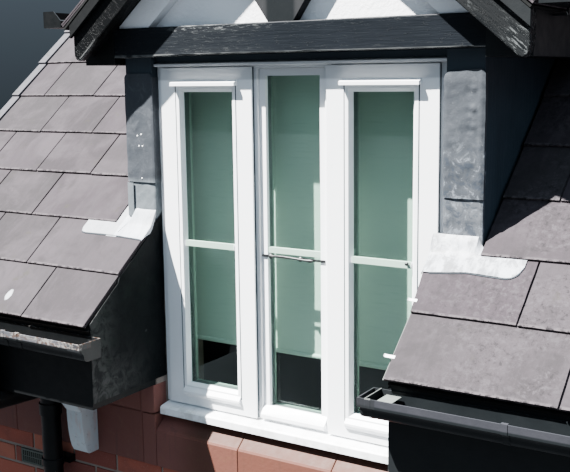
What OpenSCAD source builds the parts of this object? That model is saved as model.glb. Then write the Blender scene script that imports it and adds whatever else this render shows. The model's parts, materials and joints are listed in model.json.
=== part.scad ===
// Wall dormer of a small brick house: a triple-light timber window between lead-clad
// corner posts under a black and white gable, with the slated main roof, the boxed
// eaves, the gutters and the brick wall that it stands in.
// Millimetres. X runs along the wall, Y into the house, Z up.

/* [Dormer front] */
// Clear width between the corner posts
opening_w = 1110; // [1000:10:1300]
// Width of a corner post
post_w = 118; // [100:1:140]
// Depth of a corner post
post_d = 100; // [80:1:120]
// Front of the posts behind the edge of the eaves slates
post_y = 387; // [380:1:420]
// Height of the beam over the window
beam_h = 97; // [80:1:130]
// Depth of the beam
beam_d = 127; // [110:1:150]
// How far the beam stands forward of the posts
beam_out = 27; // [10:1:35]
// Length of the beam past each post
beam_past = 14; // [0:1:30]

/* [Window] */
// Foot of the window frame below the eaves line
window_low = 372; // [340:1:390]
// Height of the window frame
frame_h = 1234; // [1150:1:1300]
// Depth of the window frame
frame_d = 68; // [55:1:80]
// Front of the frame behind the front of the posts
frame_back = 30; // [24:1:40]
// Joint between the frame and the posts
frame_gap = 2; // [1:0.5:4]
// Packing strip between the frame and the beam
packer_h = 23; // [15:1:30]
// Frame that shows outside a side casement
frame_edge = 27; // [20:1:40]
// Frame that shows between a side casement and the centre light's opening
mullion_show = 14; // [8:1:25]
// Foot of the casements above the foot of the frame
casement_low = 6; // [0:1:15]
// Head of the frame above the casements
casement_top = 19; // [10:1:30]
// Head of the frame above the centre light's opening
head_h = 24; // [18:1:40]
// How far a casement stands proud of the frame
casement_out = 15; // [8:1:20]
// How far a casement laps over the frame
casement_lap = 20; // [10:1:25]
// Depth of a casement inside the frame
casement_d = 40; // [30:1:50]
// Play of a sash in its opening
sash_play = 1; // [0.5:0.5:3]
// Width of a casement stile with its bead
stile_w = 88; // [75:1:95]
// Width of the sloping glazing bead
bead_w = 24; // [12:1:30]
// Depth of the glazing bead
bead_d = 14; // [8:1:15]
// Height of a casement rail
rail_h = 82; // [70:1:95]
// Width of the centre light's opening
centre_w = 258; // [230:1:270]
// Width of the centre light's sash members
sash_w = 24; // [18:1:30]
// Depth of the centre light's sash
sash_d = 44; // [36:1:54]
// Front of the centre light's sash behind the front of the frame
sash_back = 10; // [5:1:14]
// Thickness of the glass units
glass_t = 20; // [16:1:24]
// Height of the horizontal glazing bars
bar_h = 20; // [14:1:26]
// Depth of the glazing bars
bar_d = 12; // [8:1:18]
// Level of the glazing bars above the foot of the frame
bar_up = 603; // [500:1:700]
// Height of the drip strip under the head strip
drip_h = 14; // [10:1:20]
// How far the drip strip stands forward of the frame
drip_out = 20; // [12:1:26]
// Ends of a casement's hood strip inside its edges
hood_side = 56; // [40:1:75]
// Top of a hood strip below the top of its casement
hood_down = 43; // [35:1:55]
// Height of a hood strip
hood_h = 18; // [12:1:24]
// How far a hood strip stands forward of its casement
hood_out = 22; // [15:1:30]
// Ends of a casement's weather bar inside its edges
weather_side = 67.5; // [50:0.5:80]
// Foot of a weather bar above the foot of its casement
weather_up = 30; // [15:1:40]
// Height of a weather bar
weather_h = 38; // [25:1:45]
// How far a weather bar stands forward of its sash
weather_out = 24; // [16:1:30]
// Height of its blunt front edge
weather_lip = 12; // [6:1:16]
// Drop of the centre light's weather bar below its sash
weather_drop = 14; // [8:1:20]

/* [Latch] */
// Height of the latch bar on the centre light
latch_h = 12; // [8:1:16]
// Depth of the latch bar
latch_t = 10; // [8:1:14]
// Width of the latch's pivot
pivot_d = 20; // [14:1:26]
// Pivot of the latch left of the middle of the light
pivot_x = 8; // [0:1:30]
// Length of the latch handle from its pivot
handle_l = 60; // [40:1:80]

/* [Sills] */
// Height of the white timber sill
sill_h = 38; // [30:1:50]
// How far the timber sill stands forward of the frame
sill_out = 55; // [40:1:65]
// Height of the stone sill below its sloping top
stone_sill_h = 140; // [100:1:180]
// Drop of the sloping top of the stone sill
stone_slope = 42; // [20:1:50]
// Width of the stone jamb block beside the window
jamb_w = 60; // [50:5:120]
// Depth of the stone course into the wall
stone_in = 60; // [50:5:100]
// Depth of the stone sill into the wall
sill_in = 100; // [90:5:130]
// Start of the level seat on the stone sill, behind the brickwork's face
stool_in = 30; // [20:1:45]
// Drop from the seat to the sloping top
sill_bed = 15; // [8:1:20]
// How far the stone course stands forward of the brickwork
stone_out = 12; // [5:1:20]
// Ends of the timber sill inside the posts
sill_side = 8; // [2:1:15]
// Distance of the drip groove from the front of the timber sill
groove_in = 18; // [12:1:24]
// Width of the drip groove
groove_w = 8; // [5:1:10]
// Depth of the drip groove
groove_d = 6; // [4:1:8]

/* [Walls] */
// Thickness of the front wall
wall_t = 290; // [250:1:330]
// Thickness of the side and back walls
side_wall_t = 215; // [180:1:250]
// Face of the brickwork behind the edge of the eaves slates
wall_y = 352; // [345:1:370]
// Height of the brickwork below the stone course
brick_h = 450; // [300:75:900]
// Left end of the air brick beyond the opening
vent_past = 733; // [700:1:900]
// Width of the air brick
vent_w = 215; // [200:5:225]
// Height of the air brick
vent_h = 62; // [50:1:75]
// Top of the air brick below the stone course
vent_down = 78; // [70:1:160]

/* [Main roof] */
// Pitch of both roofs
pitch = 40; // [36:1:44]
// Exposed length of a slate course
gauge = 230; // [220:1:245]
// Slate courses of the main roof above the one that the dormer's ridge runs into
courses_over = 1; // [1:1:3]
// Width of the main roof beside the dormer
roof_side_w = 1205; // [1000:5:1500]
// Width of the verge strip
verge_w = 57; // [40:1:80]
// Thickness of slates and battens
cover_t = 32; // [25:1:40]
// Depth of the rafters
rafter_t = 150; // [125:1:160]
// Overhang of the verge past the side walls
verge_over = 45; // [30:1:70]
// Overhang of the short slope behind the ridge
rear_over = 30; // [20:1:60]

/* [Eaves] */
// Front of the fascia behind the edge of the slates
fascia_y = 25; // [20:1:35]
// Thickness of fascia and soffit boards
board_t = 22; // [16:1:28]
// Underside of the boxed eaves below the eaves line
soffit_low = 275; // [250:1:290]
// Thickness of the lead sheet
lead_t = 3; // [2:0.5:5]
// Top of the posts' lead below the beam
lead_down = 57; // [40:1:80]
// Lap of the posts' lead above the slates at their foot
seam_up = 115; // [80:1:160]
// Front edge of the lead aprons behind the edge of the slates
apron_y = 286; // [260:1:320]
// Reach of the left apron past its post
left_apron = 171; // [120:1:200]
// Reach of the right apron past its post
right_apron = 150; // [120:1:200]
// Rounding of the aprons' front corners
apron_round = 30; // [15:1:50]
// Width of the main gutters
gutter_w = 100; // [90:1:120]
// Depth of the main gutters
gutter_h = 64; // [55:1:75]
// Top of the main gutters below the eaves line
gutter_low = 38; // [32:1:48]
// Width of the box gutters of the dormer
box_gutter_w = 84; // [75:1:100]
// Height of the outer side of a box gutter
box_gutter_h = 57; // [50:1:70]
// Height of its inner side, at the slates
slate_lip = 23; // [15:1:30]
// Drop of the bracket arms below the box gutters
arm_drop = 14; // [12:1:20]
// Width of a bracket arm
arm_w = 25; // [18:1:32]
// First bracket behind the front of the dormer slates
arm_first = 240; // [150:10:300]
// Spacing of the brackets
arm_step = 300; // [250:10:400]
// Thickness of gutter brackets
bracket_t = 6; // [4:0.5:8]
// How far a gutter end stands past the boxed eaves
gutter_past = 48; // [20:1:60]
// Wall of gutters and pipe
gutter_t = 4; // [3:0.5:5]
// Middle of a corbel beyond the opening
corbel_past = 325; // [250:1:400]
// Width of a corbel under the boxed eaves
corbel_w = 78; // [60:1:100]
// Foot of a corbel above the foot of the stone course
corbel_up = 7; // [0:1:20]
// How far a corbel's waist stands forward of the stone course
corbel_out = 85; // [60:1:110]
// Curve of a corbel's front, back to its foot
corbel_belly = 37; // [20:1:50]
// Height of a corbel's straight flare, up to the boxed eaves
corbel_flare = 130; // [80:5:140]
// Axis of the downpipe beyond the opening
pipe_past = 480; // [430:1:600]
// Outside diameter of the downpipe
pipe_d = 76; // [65:1:85]
// Gap between the downpipe and the stone course
pipe_gap = 17; // [10:1:40]
// Gap between the gutter's outlet and the fascia
outlet_gap = 6; // [3:1:8]
// How far the neck's knuckles stand out past the pipe
knuckle_t = 4; // [2:1:6]
// How far the pipe's sockets stand out past the pipe
socket_t = 5.5; // [3:0.5:7]
// Height of a socket
socket_h = 45; // [30:1:60]
// Height of a pipe collar
collar_h = 26; // [18:1:35]
// Fall of the swan neck from the gutter's outlet to the wall
swan_drop = 20; // [10:1:120]
// Reach of a pipe collar's ears from the pipe's axis
ear_w = 54; // [50:1:70]

/* [Dormer roof] */
// Overhang of the dormer roof past the posts
eaves_over = 187; // [170:1:220]
// Edge of the dormer slates above the top of the beam
slate_up = 23; // [15:1:35]
// Underside of the dormer's boxed eaves below the beam
box_drop = 28; // [10:1:40]
// Depth of the dormer rafters
dormer_rafter_t = 100; // [80:1:115]
// Front edge of the dormer slates ahead of the posts
verge_front = 127; // [85:1:140]
// Overhang of the slates past the bargeboards
barge_back = 55; // [15:1:65]
// Thickness of a bargeboard
barge_t = 30; // [22:1:35]
// Depth of a bargeboard
barge_h = 137; // [115:1:150]
// Rise of a bargeboard's foot above its straight lower edge
foot_up = 46; // [30:1:60]
// Width of the blunt end of a bargeboard's foot
foot_in = 30; // [15:1:40]
// Length of the curve that sweeps up to the foot
foot_run = 170; // [100:5:220]
// How far the bargeboards stop short of the slate edge
barge_short = 35; // [25:1:60]
// Width of the lead that shows beside a valley, measured up the main roof
valley_w = 100; // [60:5:150]
// Reach of a ridge tile to each side of the ridge
ridge_w = 130; // [100:5:160]
// Thickness of a ridge tile
ridge_t = 14; // [10:1:20]
// Face of the gable panel behind the front of the posts
panel_back = 13; // [5:1:25]
// Thickness of the rendered gable panel
panel_t = 60; // [40:1:75]
// Thickness of the gable timbers
timber_t = 38; // [25:1:40]
// Width of the gable timbers
timber_w = 97; // [80:1:110]
// Width of the sloping struts, measured level
strut_w = 95; // [70:1:110]
// Sideways run of the struts for each unit of rise
strut_lean = 0.7; // [0.5:0.05:1]
// Depth of the timbers under the dormer rafters, measured plumb
raking_h = 110; // [80:1:140]

/* [Blind] */
// Front of the blind cloth behind the front of the frame
blind_back = 125; // [115:1:150]
// Foot of the blind above the foot of the frame
blind_up = 217; // [150:1:500]
// Ends of the blind inside the posts
blind_side = 30; // [20:1:45]
// Diameter of the blind's roller
roller_d = 44; // [36:1:55]
// Width of a roller bracket
roller_end = 12; // [8:1:18]
// Diameter of the hem bar
hem_d = 18; // [12:1:25]
// Thickness of the blind cloth
blind_t = 2; // [1:0.5:3]

/* [Hidden] */

hw = opening_w / 2;
post_out = hw + post_w;
frame_y = post_y + frame_back;
slope = tan(pitch);
plumb = 1 / cos(pitch);
far = 5000;
eps = 0.01;
// Front of the glass behind the front of the frame
glass_in = 2;
// Play between loose pieces that rest on one another
seat = 0.3;

casement_w = hw - frame_gap - frame_edge - mullion_show - centre_w / 2;
casement_h = frame_h - casement_low - casement_top;
casement_x = hw - frame_gap - frame_edge - casement_w / 2;
casement_z = casement_low - window_low;
light_top = -window_low + frame_h - head_h;
bar_z = -window_low + bar_up - bar_h / 2;
frame_top = -window_low + frame_h;

half_w = hw + roof_side_w + verge_w;
wall_x = half_w - verge_over;
sill_z = -window_low - sill_h;
stone_arris = sill_z - sill_bed - stone_slope;
band_low = stone_arris - stone_sill_h;
base_z = band_low - brick_h;
beam_z = frame_top + packer_h;
box_z = beam_z - box_drop;
dormer_half = post_out + eaves_over;
dormer_rise = beam_z + beam_h + slate_up;
dormer_top = dormer_rise + dormer_half * slope;
front_y = post_y - verge_front;
barge_y = front_y + barge_back;
panel_y = post_y + panel_back;
lip_y = fascia_y - gutter_w;
join_y = dormer_top / slope;
courses = ceil(join_y / (gauge * cos(pitch))) + courses_over;
roof_run = courses * gauge * cos(pitch);
rear_y = roof_run + side_wall_t;
back_y = rear_y + rear_over;
shift_y = -(lip_y + back_y) / 2;

// Height of the top of the main roof over a point Y, and of its underside
function roof_z(y) = y * slope;
function roof_under(y) = y * slope - (cover_t + rafter_t) * plumb;
// Height of the underside of its slates and battens
function cover_under(y) = y * slope - cover_t * plumb;
// Height of a plane of the dormer roof at X, measured down square to the slope
function dormer_z(x, down = 0) = dormer_top - down * plumb - abs(x) * slope;
dormer_under = cover_t + dormer_rafter_t;

// Section in Y and Z, drawn out along X
module across(x0, x1) translate([x0, 0, 0]) rotate([90, 0, 90]) linear_extrude(x1 - x0) children();
// Section in X and Z, drawn out along Y
module inward(y0, y1) translate([0, y1, 0]) rotate([90, 0, 0]) linear_extrude(y1 - y0) children();
// Section in X and Y, drawn up along Z
module upward(z0, z1) translate([0, 0, z0]) linear_extrude(z1 - z0) children();
module block(x0, x1, y0, y1, z0, z1) translate([x0, y0, z0]) cube([x1 - x0, y1 - y0, z1 - z0]);
module both() { children(); mirror([1, 0, 0]) children(); }
module left() mirror([1, 0, 0]) children();
module place() translate([0, shift_y, -base_z]) children();

// Everything below the top of the main roof
module under_main_roof(gap = 0) across(-far, far)
    polygon([[-far, roof_z(-far) + gap], [far, roof_z(far) + gap], [far, -far * 2], [-far, -far * 2]]);
// Room under the dormer rafters, between the outer faces of the cheeks
module dormer_room(x, down, y0, y1) inward(y0, y1)
    polygon([[-x, -far], [x, -far], [x, dormer_z(x, down)], [0, dormer_z(0, down)], [-x, dormer_z(x, down)]]);

module front_wall() color("firebrick") difference() {
    union() {
        across(-wall_x, wall_x) polygon([[wall_y, base_z], [wall_y + wall_t, base_z],
            [wall_y + wall_t, roof_under(wall_y + wall_t)], [wall_y, roof_under(wall_y)]]);
        both() across(wall_x - side_wall_t, wall_x) polygon([[wall_y, base_z], [wall_y + wall_t, base_z],
            [wall_y + wall_t, cover_under(wall_y + wall_t)], [wall_y, cover_under(wall_y)]]);
    }
    // the window breaks through the top of the wall
    block(-hw, hw, -far, far, sill_z - sill_bed, far);
    // bed of the stone sill and of the stone course
    block(-hw - jamb_w, hw + jamb_w, wall_y - 1, wall_y + sill_in, band_low, sill_z);
    both() block(hw + jamb_w - eps, wall_x + 1, wall_y - 1, wall_y + stone_in, band_low, -soffit_low - board_t);
    both() block(hw - 1, hw + jamb_w, wall_y - 1, wall_y + stone_in, sill_z - eps, -soffit_low - board_t);
    // seats of the corner posts
    both() block(hw - 1, post_out, post_y, post_y + post_d, roof_under(wall_y), far);
}

module side_wall() color("firebrick") across(wall_x - side_wall_t, wall_x)
    polygon([[wall_y + wall_t, base_z], [roof_run, base_z], [roof_run, cover_under(roof_run)],
        [wall_y + wall_t, cover_under(wall_y + wall_t)]]);

module back_wall() color("firebrick") across(-wall_x, wall_x)
    polygon([[roof_run, base_z], [rear_y, base_z],
        [rear_y, cover_under(roof_run) - side_wall_t * slope], [roof_run, cover_under(roof_run)]]);

module stone_course() color("rosybrown") both() {
    block(hw + jamb_w, wall_x, wall_y - stone_out, wall_y + stone_in, band_low, -soffit_low - board_t);
    // block of the window's jamb, on the sill
    block(hw, hw + jamb_w, wall_y - stone_out, wall_y + stone_in, sill_z, -soffit_low - board_t);
}

module stone_sill() color("rosybrown") difference() {
    across(-hw - jamb_w, hw + jamb_w) polygon([[wall_y - stone_out, band_low], [wall_y + sill_in, band_low],
        [wall_y + sill_in, sill_z], [wall_y - stone_out, sill_z]]);
    // sloping top between the jambs, stooled at its ends
    across(-hw, hw) polygon([[wall_y - stone_out - 1, stone_arris - stone_slope / (stone_out + stool_in)],
        [wall_y + stool_in, sill_z - sill_bed],
        [wall_y + stool_in + sill_bed, sill_z + 1], [wall_y - stone_out - 1, sill_z + 1]]);
}

module window_frame() color("white") difference() {
    union() {
        block(-hw + frame_gap, hw - frame_gap, frame_y, frame_y + frame_d, -window_low, frame_top);
        // drip strip over the lights, with a sloping top
        across(-hw + frame_gap, hw - frame_gap) polygon([[frame_y, frame_top - drip_h],
            [frame_y - drip_out, frame_top - drip_h], [frame_y - drip_out, frame_top - drip_h / 3],
            [frame_y, frame_top]]);
    }
    both() block(casement_x - casement_w / 2 + casement_lap, casement_x + casement_w / 2 - casement_lap, frame_y - 1,
        frame_y + frame_d + 1, casement_z + casement_lap, casement_z + casement_h - casement_lap);
    block(-centre_w / 2, centre_w / 2, frame_y - 1, frame_y + frame_d + 1, casement_z + casement_lap, light_top);
}

module timber_sill() color("white") {
    front = frame_y - sill_out;
    groove = front + groove_in;
    across(-hw + sill_side, hw - sill_side) polygon([[front, sill_z], [groove, sill_z], [groove, sill_z + groove_d],
        [groove + groove_w, sill_z + groove_d], [groove + groove_w, sill_z], [frame_y + frame_d, sill_z],
        [frame_y + frame_d, -window_low], [frame_y, -window_low], [front + sill_h / 6, -window_low - sill_h / 5],
        [front, -window_low - sill_h / 3]]);
}

// Opening inside a sloping bead, wide at the front
module bead_cut(w, h, b, y0, y1) intersection() {
    across(-w, w) polygon([[y0, -h / 2], [y0, h / 2], [y1, h / 2 - b], [y1, -h / 2 + b]]);
    upward(-h, h) polygon([[-w / 2, y0], [w / 2, y0], [w / 2 - b, y1], [b - w / 2, y1]]);
}

// Hood strip or weather bar in Y and Z: its foot, its front edge, and its sloping top
module ledge(back, out, z, lip, h) polygon([[back, z], [back - out, z], [back - out, z + lip], [back, z + h]]);

module casement() color("white") {
    front = frame_y - casement_out;
    glass_w = casement_w - 2 * stile_w;
    glass_h = casement_h - 2 * rail_h;
    tongue = casement_lap + 2 * sash_play;
    translate([casement_x, 0, casement_z + casement_h / 2]) {
        difference() {
            union() {
                block(-casement_w / 2, casement_w / 2, front, frame_y, -casement_h / 2, casement_h / 2);
                block(-casement_w / 2 + tongue, casement_w / 2 - tongue, frame_y - 1,
                    frame_y + casement_d, -casement_h / 2 + tongue, casement_h / 2 - tongue);
            }
            bead_cut(glass_w + 2 * bead_w + 1, glass_h + 2 * bead_w + 1, bead_w + 0.5, front - 0.5, front + bead_d);
            block(-glass_w / 2, glass_w / 2, front, frame_y + casement_d + 1, -glass_h / 2, glass_h / 2);
        }
        translate([0, 0, bar_z - casement_z - casement_h / 2]) block(-glass_w / 2 - eps, glass_w / 2 + eps,
            frame_y + glass_in - bar_d, frame_y + glass_in, 0, bar_h);
        // hood strip over the glass and weather bar at the foot
        across(hood_side - casement_w / 2, casement_w / 2 - hood_side)
            ledge(front + 1, hood_out + 1, casement_h / 2 - hood_down - hood_h, hood_h * 0.6, hood_h);
        across(weather_side - casement_w / 2, casement_w / 2 - weather_side)
            ledge(front + 1, weather_out + 1, weather_up - casement_h / 2, weather_lip, weather_h);
    }
}

module centre_light() color("white") {
    front = frame_y + sash_back;
    foot = casement_z + casement_lap + sash_play;
    head = light_top - sash_play;
    w = centre_w / 2 - sash_play;
    difference() {
        block(-w, w, front, front + sash_d, foot, head);
        block(-w + sash_w, w - sash_w, front - 1, front + sash_d + 1, foot + sash_w, head - sash_w);
    }
    block(-w + sash_w - eps, w - sash_w + eps, front + 2, front + 2 + bar_d, bar_z, bar_z + bar_h);
    // weather bar, clear of the frame below it
    lip = foot - weather_drop;
    across(-w + sash_play, w - sash_play) polygon([[front + 1, foot + 0.5], [frame_y - seat, foot + 0.5],
        [frame_y - seat, lip], [front - weather_out - 2, lip], [front - weather_out - 2, lip + weather_lip],
        [front + 1, foot + sash_w + 3]]);
}

module window_glass() color("lightblue") {
    gy = frame_y + glass_in;
    both() block(casement_x - casement_w / 2 + stile_w, casement_x + casement_w / 2 - stile_w, gy, gy + glass_t,
        casement_z + rail_h, casement_z + casement_h - rail_h);
    pane = centre_w / 2 - sash_play - sash_w;
    cy = frame_y + sash_back + 2 + bar_d;
    block(-pane, pane, cy, cy + glass_t,
        casement_z + casement_lap + sash_play + sash_w, light_top - sash_play - sash_w);
}

module window_latch() color("dimgray") {
    z = bar_z - bar_h / 2;
    y = frame_y + sash_back;
    block(-centre_w / 2 + 4, centre_w / 2 - 4, y - latch_t, y, z - latch_h / 2, z + latch_h / 2);
    translate([-pivot_x, y - latch_t, z]) rotate([90, 0, 0]) cylinder(d = pivot_d, h = latch_t, $fn = 32);
    block(-pivot_x - 2, handle_l - pivot_x, y - latch_t * 3, y - latch_t * 2 + 0.1,
        z - latch_h / 2 + 1, z + latch_h / 2 + 1);
}

blind_y = frame_y + blind_back;
roller_z = frame_top - roller_d;
module roller_blind() color("honeydew") {
    block(-hw + blind_side, hw - blind_side, blind_y, blind_y + blind_t, -window_low + blind_up, roller_z);
    translate([-hw + blind_side, blind_y + blind_t / 2, -window_low + blind_up]) rotate([0, 90, 0])
        cylinder(d = hem_d, h = opening_w - blind_side * 2, $fn = 32);
}

module blind_roller() color("lightgray") translate([0, blind_y + blind_t + seat + roller_d / 2, roller_z]) {
    translate([roller_end - hw, 0, 0]) rotate([0, 90, 0])
        cylinder(d = roller_d, h = opening_w - roller_end * 2, $fn = 48);
    both() block(hw - roller_end - eps, hw, -roller_d * 0.6, roller_d * 0.6, -roller_d * 0.7, roller_d * 0.7);
}

module post() color("dimgray") block(hw, post_out, post_y, post_y + post_d, roof_under(wall_y), beam_z);

module cheek() color("dimgray") difference() {
    across(hw, post_out - lead_t) polygon([[post_y + post_d, roof_under(post_y + post_d)],
        [far, roof_under(far)], [far, far], [post_y + post_d, far]]);
    difference() {
        block(-far, far, -1, far * 2, -far, far * 2);
        dormer_room(post_out, dormer_under, -2, far);
    }
}

module window_beam() color("black") block(-post_out - beam_past, post_out + beam_past,
    post_y - beam_out, post_y - beam_out + beam_d, beam_z, beam_z + beam_h);

module head_packer() color("black") block(-hw, hw, frame_y - 5, frame_y + frame_d, frame_top, beam_z);

lead_top = beam_z - lead_down;
seam_z = roof_z(post_y) + seam_up;
module post_lead() color("slategray") both() {
    upward(seam_z, lead_top) difference() {
        translate([hw - lead_t, post_y - lead_t]) square([post_w + lead_t * 2, post_d + lead_t]);
        translate([hw, post_y]) square([post_w, post_d + 1]);
        translate([hw - 10, frame_y - 1]) square([11, post_d]);
    }
    difference() {
        upward(roof_z(post_y - lead_t) - 60, seam_z - 0.5) difference() {
            translate([hw - lead_t, post_y - lead_t * 2]) square([post_w + lead_t * 2, post_d + lead_t * 2]);
            translate([hw, post_y]) square([post_w, post_d + 1]);
            translate([hw - 10, frame_y - 1]) square([11, post_d]);
        }
        under_main_roof(6);
    }
}

// Lead tray at the foot of a post, with its lobe on the slates beside the post
module apron(reach) intersection() {
    back = post_y - lead_t * 2 - 1;
    across(hw - lead_t * 4, post_out + reach) polygon([[apron_y, roof_z(apron_y) + 0.5], [back, roof_z(back) + 0.5],
        [back, roof_z(back) + lead_t * 2], [apron_y, roof_z(apron_y) + lead_t * 2]]);
    upward(0, far) polygon([[hw - lead_t * 4, post_y], [hw - lead_t * 4, apron_y],
        [post_out + reach - apron_round, apron_y], [post_out + reach - apron_round / 4, apron_y + apron_round / 3],
        [post_out + reach, apron_y + apron_round], [post_out + reach, post_y]]);
}
module lead_aprons() color("slategray") {
    left() apron(left_apron);
    apron(right_apron);
}

module box_end_lead() color("slategray") both() across(hw - lead_t, hw) polygon([
    [fascia_y, -soffit_low], [wall_y - stone_out, -soffit_low], [wall_y - stone_out, -soffit_low + 1],
    [post_y - lead_t * 2 - 1, -soffit_low + 1], [post_y - lead_t * 2 - 1, roof_z(post_y - lead_t * 2 - 1) - 4],
    [fascia_y, cover_under(fascia_y)]]);

module gable_panel() color("white") inward(panel_y, panel_y + panel_t) polygon([
    [-post_out, beam_z + beam_h], [post_out, beam_z + beam_h],
    [post_out, max(beam_z + beam_h, dormer_z(post_out, dormer_under))], [0, dormer_z(0, dormer_under)],
    [-post_out, max(beam_z + beam_h, dormer_z(post_out, dormer_under))]]);

// Half of the gable's framing: the king post, a strut from its foot and a raking timber
module framing() inward(panel_y - timber_t, panel_y) {
    z0 = beam_z + beam_h;
    apex = dormer_z(0, dormer_under);
    strut_x = timber_w / 2 - 1;
    polygon([[-timber_w / 4, z0], [timber_w / 2, z0], [timber_w / 2, far], [-timber_w / 4, far]]);
    polygon([[strut_x - strut_w, z0], [strut_x, z0], [strut_x + far * strut_lean, z0 + far],
        [strut_x + far * strut_lean - strut_w, z0 + far]]);
    polygon([[post_out, z0], [post_out, z0 + raking_h * 2], [0, apex], [0, apex - raking_h],
        [post_out - raking_h / slope, z0]]);
}
module gable_timbers() color("black") intersection() {
    both() framing();
    dormer_room(post_out, dormer_under, 0, far);
}

module bargeboard() color("black") inward(barge_y, barge_y + barge_t) {
    x1 = dormer_half - barge_short;
    low = cover_t + barge_h;
    foot = dormer_z(x1, low) + foot_up;
    turn = dormer_z(x1 - foot_in - foot_run, low);
    polygon([[0, dormer_z(0, cover_t)], [x1, dormer_z(x1, cover_t)], [x1, foot], [x1 - foot_in, foot - 8],
        for (t = [0:0.125:1]) [x1 - foot_in - foot_run * t, foot - 8 + (turn - foot + 8) * t * t],
        [0, dormer_z(0, low)]]);
}

module dormer_roof() color("slategray") difference() {
    union() {
        inward(front_y, far) polygon([[0, dormer_z(0)], [dormer_half, dormer_rise],
            [dormer_half - cover_t * sin(pitch), dormer_rise - cover_t * cos(pitch)], [0, dormer_z(0, cover_t)]]);
        inward(barge_y + barge_t, far) polygon([[0, dormer_z(0, cover_t) + 1],
            [post_out, dormer_z(post_out, cover_t) + 1], [post_out, dormer_z(post_out, dormer_under)],
            [0, dormer_z(0, dormer_under)]]);
    }
    under_main_roof();
}

module ridge_piece(l) rotate([-90, 0, 0]) linear_extrude(l)
    polygon([[-ridge_w, ridge_w * slope], [-ridge_w, ridge_w * slope - ridge_t * 1.3], [0, -ridge_t * 1.6],
        [ridge_w, ridge_w * slope - ridge_t * 1.3], [ridge_w, ridge_w * slope], [0, 0]]);

module dormer_ridge() color("slategray") difference() {
    translate([0, front_y - 6, dormer_top + 1]) ridge_piece(join_y - front_y + 200);
    under_main_roof(6);
}

module dormer_eaves() color("black") both() difference() {
    x1 = dormer_half - 15 - cover_t * sin(pitch);
    inward(barge_y + barge_t, far) polygon([[post_out + beam_past, box_z], [x1, box_z], [x1, dormer_z(x1, cover_t)],
        [post_out, dormer_z(post_out, cover_t)], [post_out, beam_z + beam_h],
        [post_out + beam_past, beam_z + beam_h]]);
    under_main_roof();
}

// Ogee outline of a gutter that hangs from its back edge, drawn towards -X and -Y
module ogee(w, h) polygon([[0, 0], [0, -h], [-w * 0.6, -h], for (a = [0:15:90]) [-w * (0.6 + 0.2 * sin(a)),
    -h * (0.74 + 0.26 * cos(a))], for (a = [0:15:90]) [-w * (0.8 + 0.2 * (1 - cos(a))), -h * (0.74 - 0.34 * sin(a))],
    [-w, 0]]);
module channel(t) difference() {
    children();
    offset(delta = -t) children();
    translate([0, t * 1.5]) offset(delta = -t) children();
}

// Box gutter outside the edge of the dormer slates, with its inner corner cut to the slates
module box_outline() polygon([[0, 0], [box_gutter_w, 0], [box_gutter_w, box_gutter_h],
    [box_gutter_h - slate_lip, box_gutter_h], [0, slate_lip]]);
module dormer_gutters() color("black") both() difference() {
    translate([dormer_half + seat, 0, dormer_rise - cover_t * cos(pitch) + 10]) {
        inward(front_y + 5, far) difference() {
            box_outline();
            translate([gutter_t, gutter_t]) square([box_gutter_w - gutter_t * 2, far]);
        }
        inward(front_y + 5, front_y + 5 + gutter_t) box_outline();
        // brackets under the slates, fixed to the boxed eaves
        for (y = [front_y + arm_first:arm_step:dormer_rise / slope - arm_w * 3])
            inward(y, y + arm_w) polygon([[-far, -arm_drop - bracket_t],
            [bracket_t + 4, -arm_drop - bracket_t], [bracket_t + 4, 0], [4, 0], [4, -arm_drop], [-far, -arm_drop]]);
    }
    block(-far, dormer_half - 15 - cover_t * sin(pitch), -far, far, -far, far);
    under_main_roof(6);
}

module valley_lead() color("slategray") both() intersection() {
    difference() {
        across(0, dormer_half + 60) polygon([[0, roof_z(0)], [far, roof_z(far)],
            [far, roof_z(far) + 5], [0, roof_z(0) + 5]]);
        inward(0, far) polygon([[-10, -far], [-10, dormer_z(0)], [dormer_half, dormer_rise], [dormer_half, -far]]);
    }
    upward(0, far) polygon([[0, join_y - 1], [0, join_y + valley_w],
        [dormer_half, dormer_rise / slope + valley_w], [dormer_half, dormer_rise / slope - 1]]);
}

// Slates and battens of the main slope, and the rafters under them
module cover_section() polygon([[0, 0], [roof_run, roof_z(roof_run)], [roof_run, cover_under(roof_run)],
    [cover_t * sin(pitch), -cover_t * cos(pitch)]]);
module rafter_section() polygon([[fascia_y + board_t, cover_under(fascia_y + board_t) + eps],
    [roof_run, cover_under(roof_run) + eps], [roof_run, roof_under(roof_run)],
    [fascia_y + board_t, roof_under(fascia_y + board_t)]]);
module rear_section() polygon([[roof_run, roof_z(roof_run)], [back_y, roof_z(roof_run) - (back_y - roof_run) * slope],
    [back_y - cover_t * sin(pitch), roof_z(roof_run) - (back_y - roof_run) * slope - cover_t * cos(pitch)],
    [roof_run, cover_under(roof_run)]]);
module main_roof() color("slategray") difference() {
    intersection() {
        union() {
            across(0, half_w - verge_w) cover_section();
            across(0, wall_x - side_wall_t) rafter_section();
            across(wall_x - side_wall_t - 1, wall_x) intersection() {
                rafter_section();
                translate([0, -far]) square([wall_y, far * 2]);
            }
        }
        block(-1, half_w, -1, join_y, -far, far);
    }
    // the dormer front, and the room of its posts, its cheeks and its roof
    block(-1, hw, -far, post_y, -far, far);
    dormer_room(post_out, dormer_under, post_y - lead_t * 2 - 1, far);
}

module upper_main_roof() color("slategray") {
    difference() {
        intersection() {
            union() {
                across(-half_w + verge_w, half_w - verge_w) cover_section();
                across(-wall_x + side_wall_t, wall_x - side_wall_t) rafter_section();
            }
            block(-half_w, half_w, join_y, far, -far, far);
        }
        dormer_room(post_out, dormer_under, 0, far);
    }
    across(-half_w + verge_w, half_w - verge_w) rear_section();
}

module main_ridge() color("slategray") translate([-half_w + 4, roof_run, roof_z(roof_run) + 1])
    rotate([0, 0, -90]) ridge_piece(half_w * 2 - 8);

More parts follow.
